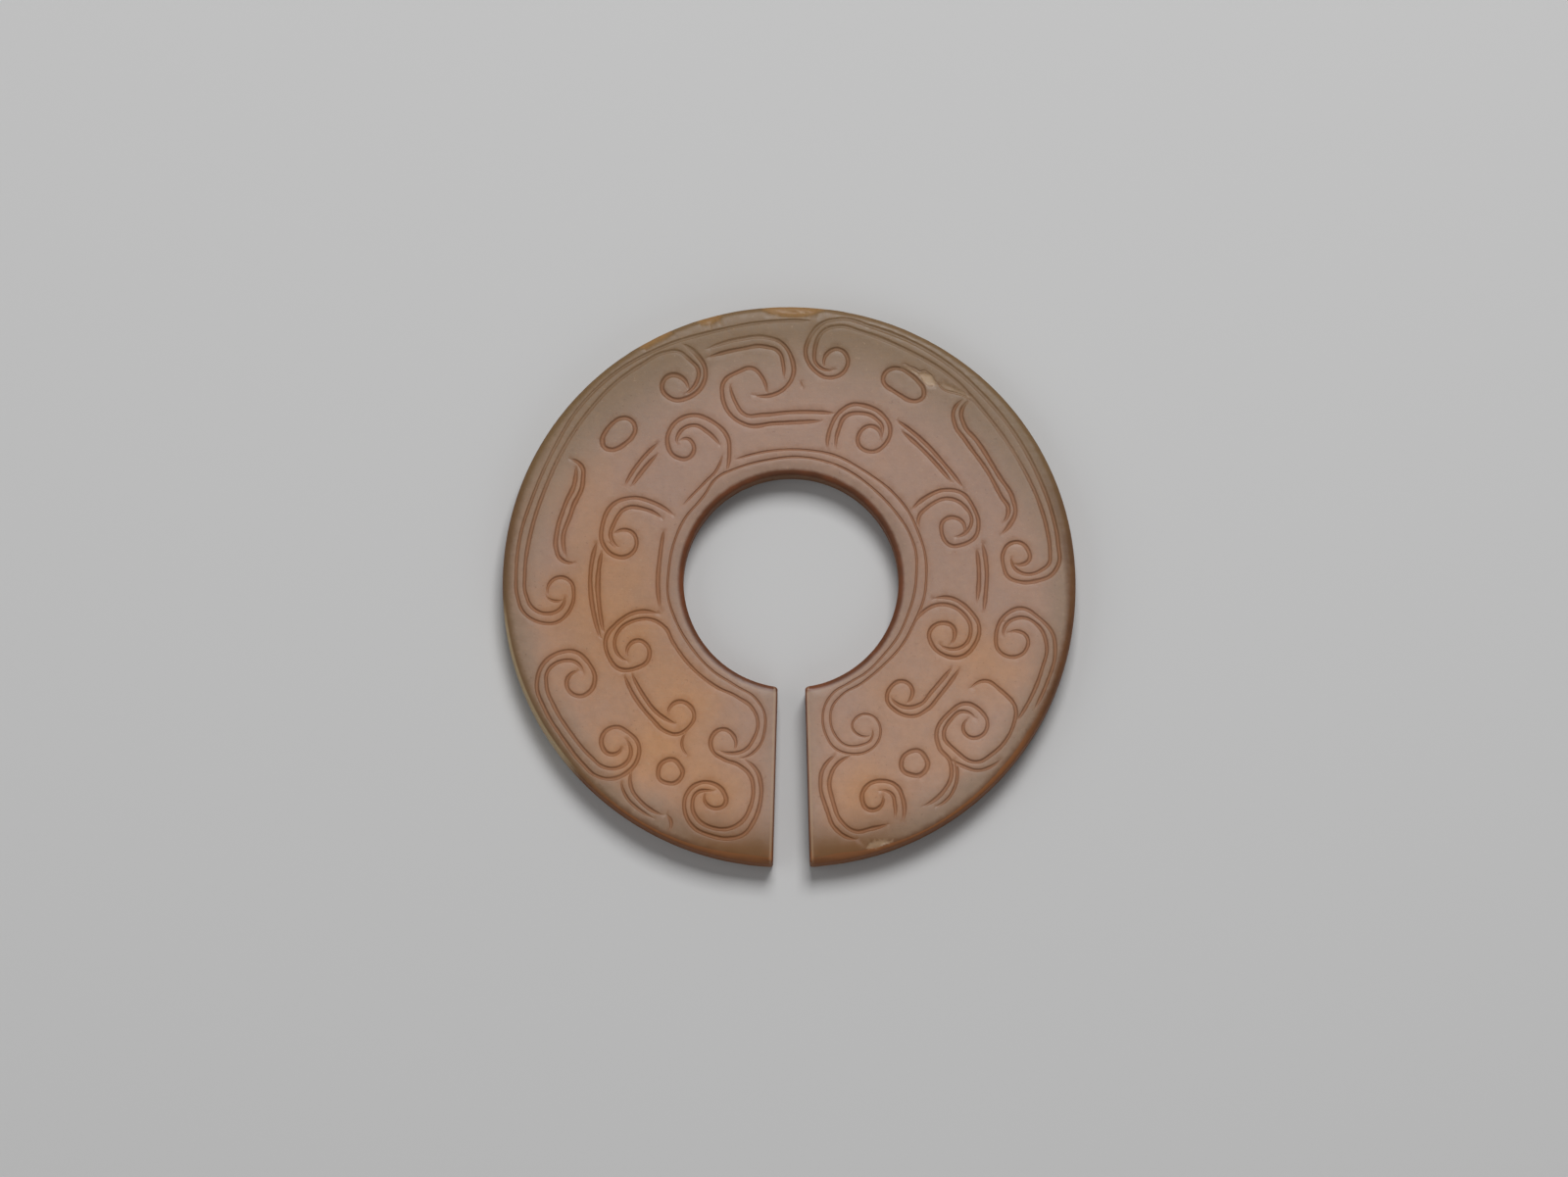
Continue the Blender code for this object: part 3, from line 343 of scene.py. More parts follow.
# The marks that only show close up: spurs where the tool slipped, and short nicks
SMALL_MARKS = [
    (0.5, [(10.9, -15.2), (10.6, -15.5), (10.3, -15.85)]),
    (0.6, [(-14.5, 3.47), (-14.2, 3.2), (-13.9, 2.94)]),
    (0.6, [(17.1, -2.95), (17.25, -2.97), (17.4, -2.95)]),
    (0.95, [(0.93, 16.55), (0.98, 16.3), (1.1, 16.05)]),
    (0.45, [(13.2, 2.64), (13.28, 2.58), (13.36, 2.52)]),
    (0.42, [(8.87, 17.9), (9.3, 17.98), (9.68, 17.75), (10.1, 17.6), (10.48, 17.33),
        (10.9, 17.42), (11.2, 17.2), (11.45, 17.05), (11.62, 16.8), (11.85, 16.5)]),
    (0.55, [(11.7, 16.65), (11.94, 16.35), (12.3, 15.95), (12.74, 15.7), (13.2, 15.6),
        (13.71, 15.45), (14.1, 15.3), (14.36, 15.12), (14.75, 14.8)]),
]

# Drawing smooth lines through stations

def circle_arc(stations, start, end):
    """A function of 0..1 that runs from start to end on the circle through three stations."""
    one, two, three = stations
    across = (two - one).cross(three - two)
    if abs(across) < 1e-6:
        return lambda share: start.lerp(end, share)
    squares = [station.length_squared for station in stations]
    centre = Vector((
        squares[0] * (two.y - three.y) + squares[1] * (three.y - one.y)
        + squares[2] * (one.y - two.y),
        squares[0] * (three.x - two.x) + squares[1] * (one.x - three.x)
        + squares[2] * (two.x - one.x))) / (2.0 * across)
    radius = (start - centre).length
    first = math.atan2(start.y - centre.y, start.x - centre.x)
    last = math.atan2(end.y - centre.y, end.x - centre.x)
    sweep = (last - first) % math.tau if across > 0.0 else -((first - last) % math.tau)

    def at(share):
        angle = first + sweep * share
        return centre + Vector((math.cos(angle), math.sin(angle))) * radius
    return at


def smooth_line(stations, fineness=16):
    """A fine line through the stations: each stretch blends the circles at its two ends."""
    line = [stations[0]]
    for here in range(len(stations) - 1):
        start, end = stations[here], stations[here + 1]
        first_of_arc = min(max(here - 1, 0), len(stations) - 3)
        first_of_next = min(here, len(stations) - 3)
        leaving = circle_arc(stations[first_of_arc:first_of_arc + 3], start, end)
        arriving = circle_arc(stations[first_of_next:first_of_next + 3], start, end)
        for step in range(1, fineness + 1):
            share = step / fineness
            weight = math.sin(share * math.pi / 2.0) ** 2
            line.append(leaving(share).lerp(arriving(share), weight))
    return line


def closed_line(stations, fineness=16):
    """A fine line through the stations that ends where it starts."""
    line = smooth_line(stations[-2:] + stations + stations[:2], fineness)
    return line[2 * fineness:(len(stations) + 2) * fineness + 1]


def oval(centre, half_length, half_width):
    """A fine closed line round an eye, drawn by hand: it swells and wavers a little."""
    line = []
    for index in range(97):
        angle = math.tau * index / 96
        waver = 1.0 + 0.03 * math.sin(3.0 * angle + centre[0]) + 0.02 * math.cos(5.0 * angle)
        along = half_length * math.cos(angle) * waver
        across = half_width * math.sin(angle) * waver
        line.append(Vector((centre[0] + along, centre[1] + across)))
    return line


def all_lines():
    """Every cut line as (width share, fine line, closed)."""
    groups = ((RIM_LINES, 1.15), (HOLE_LINES, 0.98), (UPPER_SCROLLS, 1.0), (LEFT_SCROLLS, 1.0),
              (RIGHT_SCROLLS, 1.0), (SHORT_DASHES, 1.0))
    for group, thinner in groups:
        for width_share, stations in group:
            line = smooth_line([Vector(station) for station in stations])
            yield width_share * thinner, line, False
    for stations in LONG_EYES:
        yield 1.1, closed_line([Vector(station) for station in stations]), True
    for eye in ROUND_EYES:
        yield 1.1, oval(*eye), True
    for width_share, stations in SMALL_MARKS:
        yield width_share, [Vector(station) for station in stations], False


def ripple(value, seed):
    """A smooth random wave about 0, for hand-made unevenness."""
    return noise.noise(Vector((value, seed * 7.31, seed * 1.7)))


def resampled(line, step):
    """Points evenly along a line, with their run from its start and the line's length."""
    xy = np.array([(point.x, point.y) for point in line])
    runs = np.concatenate(([0.0], np.cumsum(np.hypot(*np.diff(xy, axis=0).T))))
    count = max(3, int(round(runs[-1] / step)) + 1)
    at = np.linspace(0.0, runs[-1], count)
    places = np.stack((np.interp(at, runs, xy[:, 0]), np.interp(at, runs, xy[:, 1])), 1)
    return places, at, runs[-1]


def cut_size(width_share, run, length, closed, seed):
    """A cut line's half width and depth at a place along it. It thins out at open ends."""
    taper = 1.0 if closed else min(1.0, min(run, length - run) / TAPER_LENGTH)
    wear = 0.20 * ripple(run * 0.55, seed) + 0.13 * ripple(run * 2.6, seed + 20)
    half = GROOVE_HALF * width_share * (1.0 + wear)
    depth = GROOVE_DEPTH * (0.45 + 0.55 * width_share)
    depth *= 1.0 + 0.35 * ripple(run * 0.4, seed + 50)
    return half * (0.22 + 0.78 * math.sqrt(taper)), depth * taper ** 0.6


# How near a place is to the ring's edges. Each takes arrays of x and y.

def slit_half(y):
    """Half the slit's width, which grows evenly from the hole to the rim."""
    hole_front = HOLE_CENTRE[1] - HOLE_RADIUS
    share = (hole_front - y) / (hole_front + RIM_Y)
    return (SLIT_AT_HOLE + (SLIT_AT_RIM - SLIT_AT_HOLE) * share) / 2.0


def distances(x, y):
    """Inwards from the rim, from the hole and from the slit."""
    half_width, half_depth = RIM_X - SAFE, RIM_Y - SAFE
    across, along = np.abs(x) / half_width, np.abs(y) / half_depth
    power = np.where((x < 0.0) & (y < 0.0), ELLIPSE, RIM_FULLNESS)
    reach = np.maximum((across ** power + along ** power) ** (1.0 / power), 1e-6)
    steepness = np.hypot(across ** (power - 1.0) / half_width, along ** (power - 1.0) / half_depth)
    rim = (1.0 - reach) / np.maximum(steepness * reach ** (1.0 - power), 1e-6)
    hole = np.hypot(x - HOLE_CENTRE[0], y - HOLE_CENTRE[1]) - HOLE_RADIUS
    slit = np.where(y < HOLE_CENTRE[1], np.abs(x - SLIT_X) - slit_half(y), 99.0)
    return rim, hole, slit


def edge_distance(x, y):
    """Inwards from the nearest edge, with the four corners at the slit worn round."""
    rim, hole, slit = distances(x, y)
    curved = np.minimum(rim, hole)
    one = np.maximum(CORNER_ROUND - curved, 0.0)
    other = np.maximum(CORNER_ROUND - slit, 0.0)
    return np.where((one > 0.0) | (other > 0.0), CORNER_ROUND - np.hypot(one, other),
                    np.minimum(curved, slit))


def frontness(y):
    """How much a place belongs to the ring's front, where the edge is crisp."""
    return np.clip((-y - 12.0) / 8.0, 0.0, 1.0)


def edge_round(x, y):
    """How wide the nearest edge is rounded, and how much the face falls to it."""
    weights = [1.0 / (np.maximum(distance, 0.0) + 0.1) ** 2 for distance in distances(x, y)]
    total = sum(weights)
    facet = FRONT_ROUND + FRONT_FACET * np.exp(-((x - SLIT_X) / FACET_REACH) ** 2)
    rim_round = RIM_ROUND + (facet - RIM_ROUND) * frontness(y)
    width = sum(w * r for w, r in zip(weights, (rim_round, HOLE_ROUND, SLIT_ROUND))) / total
    fall = sum(w * f for w, f in zip(weights, (FACE_FALL, FACE_FALL, SLIT_FALL))) / total
    wear = np.array([1.0 + 0.16 * ripple(px * 0.5, py * 0.5) for px, py in zip(x, y)])
    return width * wear, fall


def onto_level(points, share):
    """Moves points to where the edge distance is that share of the edge's round."""
    x, y = points[:, 0].copy(), points[:, 1].copy()
    nudge = 0.004
    for _ in range(5):
        width, _fall = edge_round(x, y)
        here = edge_distance(x, y)
        slope_x = (edge_distance(x + nudge, y) - edge_distance(x - nudge, y)) / (2.0 * nudge)
        slope_y = (edge_distance(x, y + nudge) - edge_distance(x, y - nudge)) / (2.0 * nudge)
        steep = np.maximum(slope_x ** 2 + slope_y ** 2, 0.2)
        move = (width * share - here) / steep
        x += move * slope_x
        y += move * slope_y
    return np.stack((x, y), 1)


# Laying out the points of the face

def spread(length):
    """Places along a stretch of the outline, closer together at its corners."""
    fine, corner = 0.09, 0.63
    near = np.arange(0.0, corner, fine)
    count = max(2, int(round((length - 2.0 * near[-1]) / CONTOUR_STEP)))
    middle = np.linspace(near[-1], length - near[-1], count + 1)[1:-1]
    return np.concatenate((near, middle, length - near[::-1]))[:-1] / length


def outline():
    """The ring's outline, counter-clockwise round the rim, then back round the hole."""
    rim_half = math.asin((slit_half(-RIM_Y)) / RIM_X)
    hole_front = HOLE_CENTRE[1] - HOLE_RADIUS
    hole_half = math.asin(slit_half(hole_front) / HOLE_RADIUS)
    shift = math.asin(SLIT_X / RIM_X)
    start, end = -math.pi / 2.0 + rim_half + shift, 1.5 * math.pi - rim_half + shift
    points = [(RIM_X * math.cos(a), RIM_Y * math.sin(a))
              for a in start + (end - start) * spread((end - start) * RIM_X)]
    hole_shift = math.asin((SLIT_X - HOLE_CENTRE[0]) / HOLE_RADIUS)
    hole_start = 1.5 * math.pi - hole_half + hole_shift
    hole_end = -math.pi / 2.0 + hole_half + hole_shift
    rim_left = np.array((RIM_X * math.cos(end), RIM_Y * math.sin(end)))
    rim_right = np.array((RIM_X * math.cos(start), RIM_Y * math.sin(start)))

    def on_hole(angle):
        return np.array((HOLE_CENTRE[0] + HOLE_RADIUS * math.cos(angle),
                         HOLE_CENTRE[1] + HOLE_RADIUS * math.sin(angle)))
    hole_left, hole_right = on_hole(hole_start), on_hole(hole_end)
    for share in spread(np.hypot(*(hole_left - rim_left))):
        points.append(tuple(rim_left + (hole_left - rim_left) * share))
    for share in spread((hole_start - hole_end) * HOLE_RADIUS):
        points.append(tuple(on_hole(hole_start + (hole_end - hole_start) * share)))
    for share in spread(np.hypot(*(rim_right - hole_right))):
        points.append(tuple(hole_right + (rim_right - hole_right) * share))
    return np.array(points)


class Spacing:
    """Keeps points from crowding: a place is taken only if none lies within its own reach."""

    CELL = 0.25

    def __init__(self):
        self.cells = {}
        self.points = []

    def add(self, x, y):
        cell = (math.floor(x / self.CELL), math.floor(y / self.CELL))
        self.cells.setdefault(cell, []).append((x, y))
        self.points.append((x, y))

    def try_add(self, x, y, reach):
        column, row = math.floor(x / self.CELL), math.floor(y / self.CELL)
        span = int(math.ceil(reach / self.CELL))
        for i in range(column - span, column + span + 1):
            for j in range(row - span, row + span + 1):
                for px, py in self.cells.get((i, j), ()):
                    if (px - x) ** 2 + (py - y) ** 2 < reach * reach:
                        return
        self.add(x, y)


def scar_field(x, y):
    """How far a place lies inside each broken outline: [(depth, amber, pale)]."""
    found = []
    for depth, edge, amber, pale, corners in SCARS:
        inside = False
        nearest = 9.0
        for (ax, ay), (bx, by) in zip(corners, corners[1:] + corners[:1]):
            if (ay > y) != (by > y) and x < (bx - ax) * (y - ay) / (by - ay) + ax:
                inside = not inside
            length = (bx - ax) ** 2 + (by - ay) ** 2
            share = min(1.0, max(0.0, ((x - ax) * (bx - ax) + (y - ay) * (by - ay)) / length))
            off_x, off_y = x - ax - share * (bx - ax), y - ay - share * (by - ay)
            nearest = min(nearest, math.hypot(off_x, off_y))
        if inside:
            steep = min(1.0, nearest / edge)
            rough = 0.75 + 0.45 * noise.noise(Vector((x * 1.9, y * 1.9, depth * 40.0)))
            full = math.sqrt(steep)
            found.append((depth * full * rough, amber * full, pale * full))
    return found


class Carving:
    """The cut lines as a cloud of close samples that any place can be measured against."""

    def __init__(self):
        self.lines = []
        samples = []
        for seed, (width_share, line, closed) in enumerate(all_lines(), 1):
            self.lines.append((width_share, line, closed, seed))
            places, runs, length = resampled(line, SAMPLE_STEP)
            for (x, y), run in zip(places, runs):
                samples.append((x, y, *cut_size(width_share, run, length, closed, seed)))
        self.samples = samples
        self.tree = KDTree(len(samples))
        for index, (x, y, _half, _depth) in enumerate(samples):
            self.tree.insert((x, y, 0.0), index)
        self.tree.balance()

    def nearest_share(self, x, y):
        """The least distance to any cut line, as a share of that line's half width."""
        best = 9.0
        for _place, index, distance in self.tree.find_range((x, y, 0.0), WIDEST_REACH):
            best = min(best, distance / self.samples[index][2])
        return best

    def depth(self, x, y):
        """How deep the face is cut at a place, and how far down the cut's own wall it is."""
        deepest = 0.0
        share_there = 0.0
        wall_there = 0.0
        for _place, index, distance in self.tree.find_range((x, y, 0.0), WIDEST_REACH):
            _x, _y, half, depth = self.samples[index]
            share = groove_share(distance / half)
            if depth * share > deepest:
                deepest = depth * share
                full = min(1.0, depth / (0.6 * GROOVE_DEPTH))
                share_there = share * full
                wall_there = 4.0 * share * (1.0 - share) * full
        return deepest, share_there, wall_there


def smooth_step(low, high, value):
    share = min(1.0, max(0.0, (value - low) / (high - low)))
    return share * share * (3.0 - 2.0 * share)


def groove_share(across):
    """The cut's section: a rounded floor, steep walls and worn lips."""
    floor = 1.0 - 0.14 * min(1.0, across / 0.55) ** 2
    wall = 1.0 - smooth_step(0.5, 1.04, across)
    lip = 1.0 - smooth_step(0.8, 1.45, across)
    return 0.90 * wall * floor + 0.10 * lip


def edge_rows(contour):
    """The outline's points, then rows of them up and over the round edge, and their count."""
    spacing = Spacing()
    for x, y in contour:
        spacing.add(x, y)
    for share in EDGE_ROWS[1:]:
        for x, y in onto_level(contour, share):
            spacing.try_add(x, y, 0.004 if share < 0.1 else 0.02 if share < 0.5 else 0.05)
    return spacing, len(spacing.points)


def grid(step):
    """Rows and columns of a grid that covers the ring."""
    for row in range(int(-RIM_Y / step) - 1, int(RIM_Y / step) + 2):
        for column in range(int(-RIM_X / step) - 1, int(RIM_X / step) + 2):
            yield row, column


def inside_ring(spacing, edge_count):
    """The edge's points, and of the others those that lie on the ring."""
    points = np.array(spacing.points)
    inside = edge_distance(points[:, 0], points[:, 1]) > 0.02
    inside[:edge_count] = True
    return points[inside]


def face_points(carving, contour):
    """Every point of the upper face: the outline first, then edges, cut lines, breaks, fill."""
    spacing, edge_count = edge_rows(contour)
    for width_share, line, closed, seed in carving.lines:
        places, runs, length = resampled(line, LINE_STEP)
        along = np.gradient(places, axis=0)
        along /= np.maximum(np.hypot(along[:, 0], along[:, 1]), 1e-9)[:, None]
        for across in ACROSS_LINE:
            for side in ((1.0, -1.0) if across else (1.0,)):
                for (x, y), (u, v), run in zip(places, along, runs):
                    half, _depth = cut_size(width_share, run, length, closed, seed)
                    px = x - v * side * across * half
                    py = y + u * side * across * half
                    if carving.nearest_share(px, py) > across - 0.2:
                        spacing.try_add(px, py, 0.2 * half)
    for x, y in scar_points():
        spacing.try_add(x, y, 0.075)
    draw = random.Random(5)
    for row, column in grid(FILL_STEP):
        x = (column + 0.5 * (row % 2) + draw.uniform(-0.2, 0.2)) * FILL_STEP
        y = (row + draw.uniform(-0.2, 0.2)) * FILL_STEP * ROW_SHARE
        spacing.try_add(x, y, 0.15)
    return inside_ring(spacing, edge_count)


def scar_points():
    """Close points over the broken places."""
    for _depth, _edge, _amber, _pale, corners in SCARS:
        xs, ys = [c[0] for c in corners], [c[1] for c in corners]
        for i in range(int((max(xs) - min(xs)) / CHIP_STEP) + 1):
            for j in range(int((max(ys) - min(ys)) / CHIP_STEP) + 1):
                x, y = min(xs) + i * CHIP_STEP, min(ys) + j * CHIP_STEP
                if scar_field(x, y):
                    yield x, y
        for (ax, ay), (bx, by) in zip(corners, corners[1:] + corners[:1]):
            count = int(math.hypot(bx - ax, by - ay) / CHIP_STEP) + 1
            for i in range(count):
                yield ax + (bx - ax) * i / count, ay + (by - ay) * i / count


def triangulated(points, outline_count):
    """Triangles inside the outline, which is the first points in order, and their points."""
    border = [(i, (i + 1) % outline_count) for i in range(outline_count)]
    places, _edges, faces, origins, _oe, _of = delaunay_2d_cdt(
        [Vector(point) for point in points], border, [], 1, 1e-6)
    where = {}
    for index, froms in enumerate(origins):
        for origin in froms:
            where[origin] = index
    upright = []
    for a, b, c in faces:
        turn = (places[b] - places[a]).cross(places[c] - places[a])
        if abs(turn) > 1e-12:
            upright.append((a, b, c) if turn > 0.0 else (a, c, b))
    loop = [where[index] for index in range(outline_count)]
    return np.array([tuple(place) for place in places]), upright, loop


# Heights

def edge_drop(x, y):
    """How far the face has dropped at its edges, how far round the edge has turned, and how far
    in a place is as a share of the edge's round."""
    near = edge_distance(x, y)
    width, fall = edge_round(x, y)
    share = np.clip(near / width, 0.0, 1.0)
    turned = 1.0 - np.sqrt(np.clip(1.0 - (1.0 - share) ** 2, 0.0, 1.0))
    bevel = BEVEL_SHARE + FRONT_BEVEL_SHARE * frontness(y)
    turned = turned * (1.0 - bevel) + (1.0 - share) * bevel
    beyond = np.clip((near - width) / FALL_WIDTH, 0.0, 1.0)
    return width * turned + fall * (1.0 - beyond) ** 2, turned, np.clip(near / width, 0.0, 2.0)


def faintness(y, rim):
    """What is left of a cut's strength: the lines along the upper rim are worn faint."""
    return 1.0 - 0.5 * smooth_step(5.0, 11.0, y) * (1.0 - smooth_step(2.4, 3.2, rim))


def warmth(x, y):
    """How warm the stone's colour is at a place, from the patches."""
    total = 0.0
    for (cx, cy), reach, strength in WARM_PATCHES:
        total += strength * math.exp(-((x - cx) ** 2 + (y - cy) ** 2) / (0.7 * reach) ** 2)
    return min(1.0, total)


def face_heights(points, carving):
    """The upper face's heights, and what the material needs to know at each point."""
    x, y = points[:, 0], points[:, 1]
    drop, turned, edge = edge_drop(x, y)
    rim, hole, slit = distances(x, y)
    values = {"cut": [], "cut_wall": [], "stain": [], "amber": [], "pale": [], "warm": []}
    height = []
    for px, py, dropped, over, inwards in zip(x, y, drop, turned, rim):
        faint = faintness(py, inwards)
        depth, share, wall = [faint * number for number in carving.depth(px, py)]
        on_face = 1.0 - min(1.0, over * 2.0)
        swell = 0.5 + 0.5 * noise.noise(Vector((px * 0.28, py * 0.28, 3.0)))
        fine = 0.5 + 0.5 * noise.noise(Vector((px * 1.1, py * 1.1, 8.0)))
        low = dropped + on_face * (depth + 0.012 * swell + 0.002 * fine)
        amber = pale = 0.0
        for broken, is_amber, is_pale in scar_field(px, py):
            low += broken * (1.0 - 0.8 * over)
            amber, pale = max(amber, is_amber), max(pale, is_pale)
        height.append(THICKNESS - low)
        values["cut"].append(share * on_face)
        values["cut_wall"].append(wall * on_face)
        away = carving.tree.find((px, py, 0.0))[2]
        values["stain"].append(faint * max(0.0, 1.0 - away / STAIN_REACH) ** 2 * on_face)
        values["amber"].append(amber)
        values["pale"].append(pale)
        values["warm"].append(warmth(px, py))
    values["edge"] = list(edge)
    values["rim"] = list(rim)
    values["bore"] = list(hole)
    values["slit"] = list(np.minimum(slit, FAR_FROM_SLIT))
    return height, values


def underside_points(contour):
    """The plain underside's points: the same outline, its round edge and a coarse fill."""
    spacing, edge_count = edge_rows(contour)
    for row, column in grid(UNDERSIDE_STEP):
        x = (column + 0.5 * (row % 2)) * UNDERSIDE_STEP
        y = row * UNDERSIDE_STEP * ROW_SHARE
        spacing.try_add(x, y, 0.4)
    return inside_ring(spacing, edge_count)


def carved_jade():
    """The whole ring as one closed mesh, with its values for the material."""
    carving = Carving()
    contour = onto_level(outline(), 0.0)
    count = len(contour)
    top, top_faces, top_loop = triangulated(face_points(carving, contour), count)
    top_height, values = face_heights(top, carving)
    under, under_faces, under_loop = triangulated(underside_points(contour), count)
    under_drop, _turned, under_edge = edge_drop(under[:, 0], under[:, 1])
    rim, hole, slit = distances(under[:, 0], under[:, 1])

    vertices = [(x * MM, y * MM, z * MM) for (x, y), z in zip(top, top_height)]
    first_under = len(vertices)
    vertices += [(x * MM, y * MM, z * MM) for (x, y), z in zip(under, under_drop)]
    for name in ("cut", "cut_wall", "stain", "amber", "pale"):
        values[name] += [0.0] * len(under)
    values["warm"] += [warmth(x, y) for x, y in under]
    values["edge"] += list(under_edge)
    values["rim"] += list(rim)
    values["bore"] += list(hole)
    values["slit"] += list(np.minimum(slit, FAR_FROM_SLIT))

    faces = list(top_faces)
    faces += [(a + first_under, c + first_under, b + first_under) for a, b, c in under_faces]
    upper = list(top_loop)
    lower = [index + first_under for index in under_loop]
    rows = [upper]
    for level in range(1, WALL_ROWS):
        share = level / WALL_ROWS
        row = []
        for high, low in zip(upper, lower):
            row.append(len(vertices))
            between = zip(vertices[high], vertices[low])
            vertices.append(tuple(a + (b - a) * share for a, b in between))
            for name, numbers in values.items():
                part = 1.0 if name in ("amber", "pale") else share
                numbers.append(numbers[high] + (numbers[low] - numbers[high]) * part)
        rows.append(row)
    rows.append(lower)
    for above, below in zip(rows, rows[1:]):
        for i in range(count):
            j = (i + 1) % count
            faces.append((above[i], below[i], below[j], above[j]))

    mesh = bpy.data.meshes.new("carved_jade")
    mesh.from_pydata(vertices, [], faces)
    mesh.validate()
    mesh.shade_smooth()
    for name, numbers in values.items():
        attribute = mesh.attributes.new(name, "FLOAT", "POINT")
        attribute.data.foreach_set("value", np.array(numbers, dtype=np.float32))
    ring = bpy.data.objects.new("carved_jade", mesh)
    bpy.context.scene.collection.objects.link(ring)
    return ring


# The jade's look

class Nodes:
    """Short words for a material's nodes."""

    def __init__(self, material):
        material.use_nodes = True
        self.tree = material.node_tree
        self.tree.nodes.clear()

    def add(self, kind, **inputs):
        made = self.tree.nodes.new(kind)
        for name, value in inputs.items():
            self.put(made.inputs[name.replace("_", " ")], value)
        return made

    def put(self, socket, value):
        if isinstance(value, bpy.types.NodeSocket):
            self.tree.links.new(value, socket)
        else:
            socket.default_value = value

    def value(self, name):
        attribute = self.tree.nodes.new("ShaderNodeAttribute")
        attribute.attribute_name = name
        return attribute.outputs["Fac"]

    def sum(self, operation, one, other, third=0.0, clamp=False):
        made = self.tree.nodes.new("ShaderNodeMath")
        made.operation = operation
        made.use_clamp = clamp
        for index, number in enumerate((one, other, third)):
            self.put(made.inputs[index], number)
        return made.outputs[0]

    def ramp(self, value, low, high, start=0.0, end=1.0):
        made = self.tree.nodes.new("ShaderNodeMapRange")
        made.interpolation_type = "SMOOTHSTEP"
        for index, number in enumerate((value, low, high, start, end)):
            self.put(made.inputs[index], number)
        return made.outputs[0]

    def mix(self, share, one, other, blend="MIX"):
        made = self.tree.nodes.new("ShaderNodeMix")
        made.data_type = "RGBA"
        made.blend_type = blend
        self.put(made.inputs["Factor"], share)
        self.put(made.inputs[6], one)
        self.put(made.inputs[7], other)
        return made.outputs[2]

    def clouds(self, place, scale, detail=3.0, roughness=0.55, stretch=None):
        if stretch:
            made = self.tree.nodes.new("ShaderNodeMapping")
            self.put(made.inputs["Vector"], place)
            made.inputs["Scale"].default_value = stretch
            place = made.outputs["Vector"]
        made = self.tree.nodes.new("ShaderNodeTexNoise")
        self.put(made.inputs["Vector"], place)
        made.inputs["Scale"].default_value = scale
        made.inputs["Detail"].default_value = detail
        made.inputs["Roughness"].default_value = roughness
        return made.outputs["Fac"]


def grey(nodes, value):
    """A single number as a colour."""
    made = nodes.tree.nodes.new("ShaderNodeCombineXYZ")
    for socket in made.inputs:
        nodes.put(socket, value)
    return made.outputs[0]


